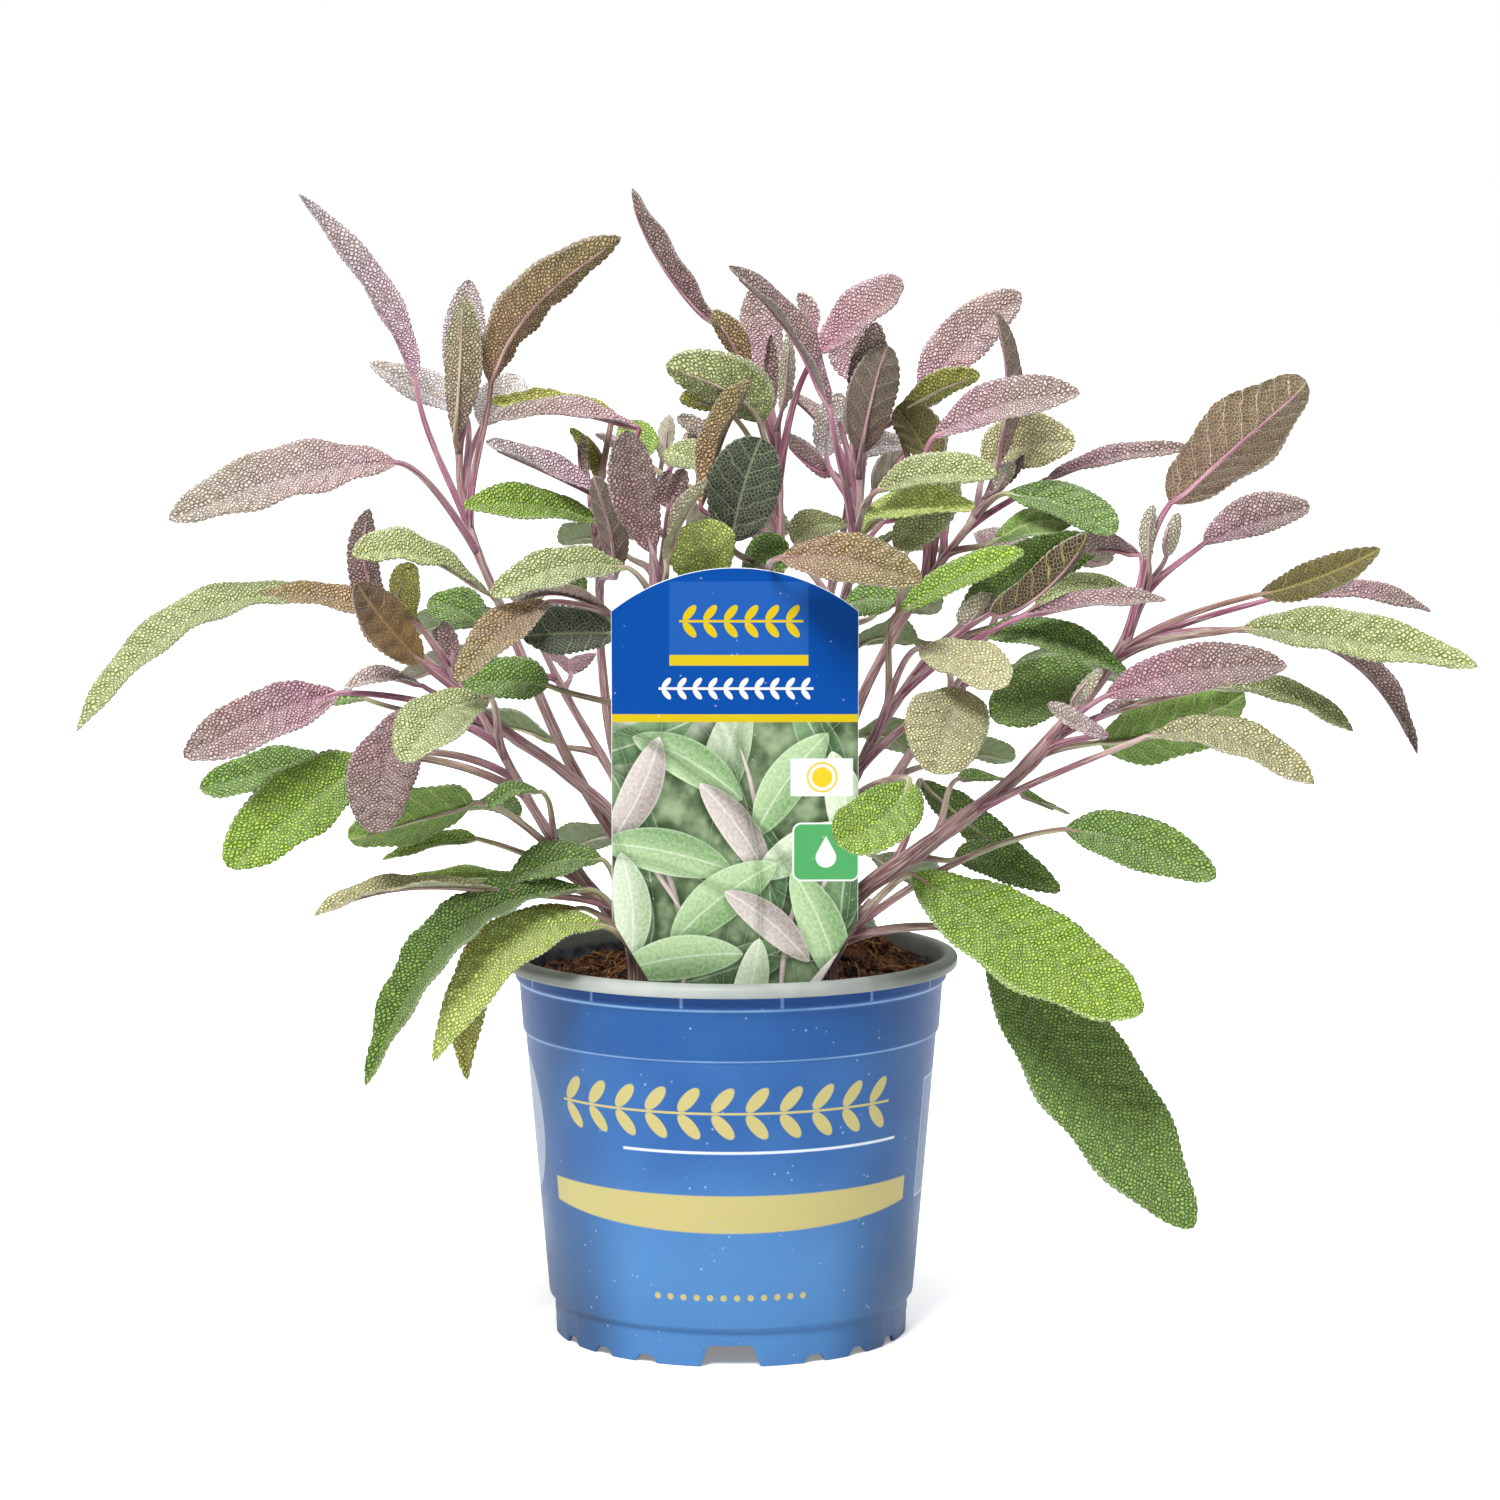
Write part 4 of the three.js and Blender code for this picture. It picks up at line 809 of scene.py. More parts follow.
def fibres():
    """Thin three-sided strands, each bent along a short arc that lies on the bed."""
    sides, joints = 3, 5
    start = on_soil(FIBRES, SOIL_RADIUS - 4)
    turn = scatter.uniform(0, 2 * np.pi, (FIBRES, 1))
    reach = scatter.uniform(3, 14, (FIBRES, 1)) * np.linspace(-0.5, 0.5, joints)
    bend = scatter.normal(0, 0.07, (FIBRES, 1)) * reach**2
    x = start[:, :1] + reach * np.cos(turn) - bend * np.sin(turn)
    y = start[:, 1:2] + reach * np.sin(turn) + bend * np.cos(turn)
    inside = np.minimum(1, (SOIL_RADIUS - 1) / np.hypot(x, y))
    x, y = x * inside, y * inside
    z = soil_height(x, y) + 0.5 + scatter.uniform(0, 0.16, (FIBRES, 1)) * reach**2 * 0.35
    line = np.stack([x, y, z], -1)
    way = unit(np.gradient(line, axis=1))
    first = unit(np.cross(way, [0.0, 0.0, 1.0]))
    second = np.cross(way, first)
    thick = scatter.uniform(0.12, 0.34, (FIBRES, 1, 1, 1)) * FIBRE_THICKNESS[None, :, None, None]
    angle = 2 * np.pi * np.arange(sides) / sides
    ring = first[:, :, None] * np.cos(angle)[:, None] + second[:, :, None] * np.sin(angle)[:, None]
    points = (line[:, :, None] + ring * thick)[:, :, ::-1].reshape(-1, 3)
    one = ring_faces(joints, sides)
    step = sides * joints * np.arange(FIBRES)[:, None, None]
    ends = np.array([(0, 1, 2), (14, 13, 12)])
    tone = np.repeat(scatter.random(FIBRES) ** 1.8, sides * joints)
    warmth = np.repeat(scatter.random(FIBRES) ** 1.6, sides * joints)
    faces = [(one[None] + step).reshape(-1, 4), (ends[None] + step).reshape(-1, 3)]
    return loose(points, faces, peat_paint(tone, 0.75 * warmth))


def peat_material():
    material, tree, shader = new_material("peat", Specular_IOR_Level=0.25)
    here = coordinates(tree)
    crumble = noise(tree, here, 900, 4.0, 0.65)
    lumps = cells(tree, here, 620)
    paint = attribute(tree, "paint", "Color")
    colour = mixed(tree, crumble.ramp(0.3, 0.62), tinted(tree, paint, (0.3, 0.27, 0.25, 1)), paint)
    colour = mixed(tree, crumble.ramp(0.6, 0.75) * 0.35, colour, shade("#6d4124"))
    plug(tree, colour, shader.inputs["Base Color"])
    plug(tree, crumble.ramp(0.3, 0.7, 0.75, 1.0), shader.inputs["Roughness"])
    raise_surface(tree, shader, crumble * 0.6 - lumps * 0.4, 0.0009)
    return material


make_piece("peat_bed", [bed(), crumbs(), fibres()], [peat_material()], "soil")

# %% [markdown]
# ## The label
#
# A thin plastic card with an arched top, stuck in the peat by its narrow foot. It is flat but for a slight
# bow, and its edge is rounded, so that it catches a line of light. It is built in rows from the foot to the
# top, each as wide as the card is at that height.

# %% The card
CARD_MIDDLE, CARD_DEPTH = 1.2, -46.0  # mm: where the card stands, across and behind the pot's axis
CARD_HALF_WIDTH, CARD_SHOULDER, CARD_PEAK = 31.2, 194.0, 205.0
CARD_TAPER, CARD_FOOT, CARD_FOOT_HALF = 115.5, 76.0, 8.0
CARD_THICK, CARD_ROUNDING = 0.8, 0.35  # mm: the sheet, and how far its edge is rounded inwards
CARD_RISE = CARD_PEAK - CARD_SHOULDER
ARCH_RADIUS = (CARD_HALF_WIDTH**2 + CARD_RISE**2) / (2 * CARD_RISE)


def card_half_width(z):
    """Straight up from the taper to the shoulder, then along a circle that reaches the peak."""
    arch = np.sqrt(np.maximum(ARCH_RADIUS**2 - (z - CARD_PEAK + ARCH_RADIUS) ** 2, 0))
    taper = np.interp(z, [CARD_FOOT, CARD_TAPER], [CARD_FOOT_HALF, CARD_HALF_WIDTH])
    return np.where(z > CARD_SHOULDER, arch, taper)


def card():
    """Each row is a ring round the card: its places across gather near the two edges, and its thickness
    there falls off as a circle does. The attribute printed is 1 on the front."""
    straight = np.linspace(CARD_FOOT, CARD_SHOULDER, 61)
    arch = CARD_SHOULDER + (CARD_RISE - 0.01) * np.sin(np.linspace(0, np.pi / 2, 40))[1:]
    z = np.concatenate([straight, arch])
    half = card_half_width(z)[:, None]
    turn = np.linspace(0, 2 * np.pi, 64, endpoint=False)
    across = np.sign(np.cos(turn)) * np.abs(np.cos(turn)) ** 0.5
    c = across[None, :] * half
    inset = np.clip((half - np.abs(c)) / CARD_ROUNDING, 0, 1)
    swell = np.sqrt(np.maximum(1 - (1 - inset) ** 2, 0)) * 0.5 * CARD_THICK
    side = np.sign(np.sin(turn))[None, :] * swell
    bow = 0.5 * (1 - (c / CARD_HALF_WIDTH) ** 2) * smooth(z, 110, 140)[:, None]
    y = CARD_DEPTH + side - bow + 0.25
    points = np.stack([CARD_MIDDLE + c, y, z[:, None] + 0 * c], -1)
    face = np.stack([c, z[:, None] + 0 * c], -1)
    printed = np.broadcast_to((np.sin(turn) < 0.05)[None, :, None], c.shape + (1,)).astype(float)
    return ring_shell(points[:, ::-1] * MM, 0, face=face[:, ::-1], printed=printed[:, ::-1])


# %% [markdown]
# ## The label's print
#
# A blue head with a yellow rule and a garland, and below it a picture of soft grey-green leaves. It is
# drawn here from scratch: a node group paints one leaf over whatever is below it, and the material uses it
# again and again, from the back of the picture to the front. The rest is painted over it layer by layer.

# %% A printed leaf
def printed_leaf_group():
    """Paints one leaf over a picture. In the leaf's own directions, u runs from foot to tip and v across;
    its half width at u is width times (1 - u^2)^0.7, with u from -1 to 1."""
    inputs = [
        ("Below", "Color", (1, 1, 1, 1)),
        ("Across", "Float", 0.0),
        ("Up", "Float", 0.0),
        ("Middle across", "Float", 0.0),
        ("Middle up", "Float", 0.0),
        ("Turn", "Float", 0.0),
        ("Length", "Float", 12.0),
        ("Width", "Float", 5.0),
        ("Bend", "Float", 0.1),
        ("Light", "Color", (0.7, 0.8, 0.6, 1)),
        ("Dark", "Color", (0.4, 0.5, 0.3, 1)),
    ]
    tree, use, end = new_group("printed_leaf", inputs, [("Colour", "Color")])
    x, y = use["Across"] - use["Middle across"], use["Up"] - use["Middle up"]
    cosine, sine = use["Turn"].math("COSINE"), use["Turn"].math("SINE")
    u = (x * cosine + y * sine).math("DIVIDE", use["Length"])
    v = (y * cosine - x * sine) - u * u * use["Bend"] * use["Length"]
    room = (u * u * -1.0 + 1.0).math("MAXIMUM", 0.0).math("POWER", 0.7) * use["Width"]
    inside = (room - v.size()).ramp(-0.12, 0.12)
    shadow = (room - v.size()).ramp(-2.4, 0.0) * 0.55
    where = joined(tree, u * use["Length"] + use["Middle up"] * 3.1, v + use["Middle across"])
    fine = noise(tree, where, 1.1, 3.0, 0.7).ramp(0.35, 0.65)
    light_side = (v.math("DIVIDE", use["Width"]) + u * 0.3).ramp(-1.0, 0.9)
    share = light_side * 0.65 + fine * 0.35
    skin = mixed(tree, share, use["Dark"], use["Light"])
    rim = (room - v.size()).ramp(0.0, 0.7, 1.0, 0.0)
    rib = v.size().ramp(0.12, 0.4, 1.0, 0.0)
    skin = mixed(tree, rim * 0.2, skin, (0.86, 0.88, 0.8, 1))
    skin = mixed(tree, rib * 0.3, skin, (0.86, 0.88, 0.8, 1))
    below = mixed(tree, shadow, use["Below"], tinted(tree, use["Below"], (0.35, 0.42, 0.32, 1)))
    plug(tree, mixed(tree, inside, below, skin), end.inputs["Colour"])
    return tree


PRINTED_LEAF = printed_leaf_group()
PRINTED_TONES = {
    "green": ("#b6cda2", "#668b58"),
    "pale": ("#d3dcc6", "#8ca67e"),
    "deep": ("#7d9a72", "#43603f"),
    "grey": ("#cfc6c0", "#8a7e7c"),
    "stem": ("#b79c9e", "#806468"),
}
PRINTED_LEAVES = [
    # middle (across, up), turn in degrees, half the length, half the width, bend, tone; back to front
    (-24, 161, 20, 15, 5.0, 0.05, "deep"), (-2, 158, 75, 16, 5.5, -0.05, "pale"),
    (22, 159, 115, 15, 5.0, 0.05, "deep"), (-25, 140, 110, 15, 5.0, 0.1, "deep"),
    (28, 128, 80, 16, 5.5, -0.1, "deep"), (-26, 111, 75, 14, 5.0, 0.1, "deep"),
    (8, 129, 100, 15, 5.0, 0.1, "deep"), (2, 104, 20, 15, 5.0, 0.05, "deep"),
    (-15, 121, 105, 19, 0.7, 0.1, "stem"), (-9, 110, 70, 17, 0.7, 0.05, "stem"),
    (13, 110, 80, 19, 0.7, -0.1, "stem"), (20, 120, 60, 16, 0.6, 0.1, "stem"),
    (-20, 128, 125, 15, 0.6, 0.05, "stem"), (5, 146, 100, 14, 0.6, 0.1, "stem"),
    (-11, 156, 150, 16, 5.2, 0.12, "green"), (13, 151, 55, 16, 5.4, -0.1, "green"),
    (-24, 148, 65, 15, 4.8, 0.1, "grey"), (28, 145, 100, 14, 5.0, 0.08, "pale"),
    (-17, 133, 168, 17, 5.8, 0.08, "green"), (1, 139, 125, 15, 4.4, 0.1, "grey"),
    (18, 134, 25, 15, 5.2, -0.1, "pale"), (-4, 121, 38, 17, 6.0, -0.1, "green"),
    (-26, 119, 95, 14, 4.8, 0.12, "pale"), (22, 114, 112, 16, 5.6, 0.1, "green"),
    (9, 115, 140, 14, 4.2, 0.1, "grey"), (-14, 106, 8, 16, 5.6, -0.08, "green"),
    (25, 100, 48, 14, 4.4, 0.1, "grey"), (4, 99, 75, 12, 4.2, 0.08, "pale"),
]


# %% The label's material
LEAF_NUMBERS = ("Middle_across", "Middle_up", "Turn", "Length", "Width", "Bend")
HEAD_SPAN, PANEL_UP, BAR_UP = (-16.5, 18.5), (183.0, 201.5), (180.3, 183.0)
TWIG = {"height": 191.5, "Pitch": 5.2, "Length": 3.9, "span": (-14.0, 17.2)}
WREATH = {"height": 174.5, "Pitch": 3.9, "Length": 2.6, "span": (-19.2, 19.8)}
RULE_LOW, RULE_TOP = 166.0, 168.0  # mm: the picture ends below the yellow rule, the head starts above
SUN, SUN_DISC, SUN_RING = (22.0, 152.0), 2.6, (3.4, 3.9)
SUN_BOX = (14.0, 29.8), (147.2, 156.8)
PLATE, PLATE_HALF, PLATE_EDGES = (23.0, 133.0), (6.2, 5.2), (2.3, 1.85)
DROP_UP, DROP_RADIUS, CONE_HEIGHT = 131.6, 2.6, 3.0
STEP = 0.1  # mm: half the width of a soft edge


def within(distance, limit):
    """1 where the distance is below the limit, with a soft edge."""
    return distance.ramp(limit - STEP, limit + STEP, 1.0, 0.0)


def row_of_leaves(tree, across, up, plan):
    """The garland of the pot, at a height and between two ends."""
    sizes = {key: plan[key] for key in ("Pitch", "Length")}
    mask = use_group(tree, GARLAND, Along=across + FAR_ROUND, Across=up - plan["height"], **sizes)["Mask"]
    return mask * across.between(*plan["span"], 0.05)


def card_edge(across, up):
    """How far inside the card's sides and arch a place is, in mm."""
    side = -(across.size()) + CARD_HALF_WIDTH
    below = (up - (CARD_PEAK - ARCH_RADIUS)).math("MAXIMUM", 0.0)
    arch = -hypotenuse(across, below) + ARCH_RADIUS
    return side.math("MINIMUM", arch)


def painted(tree, picture, layers):
    """Paints colours over a picture, each where its mask is, in the order given. The layers come from a
    generator, so that each mask's nodes are made just before they are used. A shader can hold only so many
    results at a time: with all the masks made first, the label rendered black."""
    for mask, colour in layers:
        picture = mixed(tree, mask, picture, colour)
    return picture


def leaf_picture(tree, across, up, ground):
    """A mottled green ground, paler at the upper left, under all the printed leaves."""
    picture = mixed(tree, ground.ramp(0.35, 0.65), shade("#46583c"), shade("#8c9f7c"))
    picture = mixed(tree, (up - across * 0.5).ramp(164.0, 176.0, 0.0, 0.8), picture, shade("#e2e8dc"))
    for *numbers, tone in PRINTED_LEAVES:
        values = dict(zip(LEAF_NUMBERS, numbers))
        values["Turn"] = np.radians(values["Turn"])
        values["Light"], values["Dark"] = (shade(code) for code in PRINTED_TONES[tone])
        picture = use_group(tree, PRINTED_LEAF, Below=picture, Across=across, Up=up, **values)["Colour"]
    return picture


def head_layers(tree, across, up, yellow, white):
    """The head's paler panel, the bar below it, and the two rows of leaves."""
    yield across.between(*HEAD_SPAN, 0.15) * up.between(*PANEL_UP, 0.15) * 0.16, shade("#4c86d0")
    yield across.between(*HEAD_SPAN, 0.1) * up.between(*BAR_UP, 0.1), yellow
    yield row_of_leaves(tree, across, up, TWIG), yellow
    yield row_of_leaves(tree, across, up, WREATH), white


def picture_layers(across, up, head, yellow, white):
    """The yellow rule and the head, the sun in its box, the drop on its plate, and the card's pale edge."""
    yield up.ramp(RULE_LOW - STEP, RULE_LOW + STEP), yellow
    yield up.ramp(RULE_TOP - STEP, RULE_TOP + STEP), head
    yield across.between(*SUN_BOX[0], 0.12) * up.between(*SUN_BOX[1], 0.12), white
    sun = hypotenuse(across - SUN[0], up - SUN[1])
    yield within(sun, SUN_DISC).math("MAXIMUM", sun.between(*SUN_RING, STEP)), shade("#e9b92a")
    over_x = ((across - PLATE[0]).size() - PLATE_HALF[0]).math("MAXIMUM", 0.0)
    over_z = ((up - PLATE[1]).size() - PLATE_HALF[1]).math("MAXIMUM", 0.0)
    plate = hypotenuse(over_x, over_z)
    yield within(plate, PLATE_EDGES[0]), white
    yield within(plate, PLATE_EDGES[1]), shade("#4c9a5c")
    drop_x, drop_z = (across - PLATE[0]).size(), up - DROP_UP
    bead = within(hypotenuse(drop_x, drop_z), DROP_RADIUS)
    cone = (drop_z * -0.55 + CONE_HEIGHT - drop_x).ramp(-STEP, STEP) * drop_z.ramp(1.1, 1.3)
    yield bead.math("MAXIMUM", cone), white
    yield card_edge(across, up).ramp(0.1, 0.22, 1.0, 0.0), shade("#e9edf0")


def label_material():
    material, tree, shader = new_material("label_card", Specular_IOR_Level=0.1)
    across, up = flat_place(tree, "face")
    ground = noise(tree, joined(tree, across * 0.12, up * 0.12), 1.0, 3.0)
    picture = leaf_picture(tree, across, up, ground)
    blue, yellow, white = shade("#004290"), shade("#c2aa16"), shade("#d6d8d5")
    head = painted(tree, blue, head_layers(tree, across, up, yellow, white))
    picture = painted(tree, picture, picture_layers(across, up, head, yellow, white))
    back = mixed(tree, ground.ramp(0.3, 0.7), shade("#e6e8e4"), shade("#dcdfdb"))
    picture = mixed(tree, attribute(tree, "printed"), back, picture)
    specks = cells(tree, coordinates(tree), 300).ramp(0.05, 0.09, 1.0, 0.0)
    plug(tree, mixed(tree, specks * 0.35, picture, white), shader.inputs["Base Color"])
    plug(tree, ground.ramp(0.3, 0.7, 0.3, 0.42), shader.inputs["Roughness"])
    return material


make_piece("plant_label", [card()], [label_material()], "label")

# %% [markdown]
# ## The plan of the plant
#
# The plant's plan is a table: a block of lines for each leafy stem, with mm as the unit. The first line of
# a block has its name and its radius at the soil and at the top, the next the places that it passes
# through, and each other line is one leaf: the height where it leaves the stem, the foot, middle and tip of
# its blade, its width, the way its face looks (right,away,up), its tone, and the degrees that its halves
# rise.
# A place is across,up,depth: where the eye sees it against an upright sheet through the pot's axis, and how
# far behind that sheet it really is. A short program below the table turns it into lists.

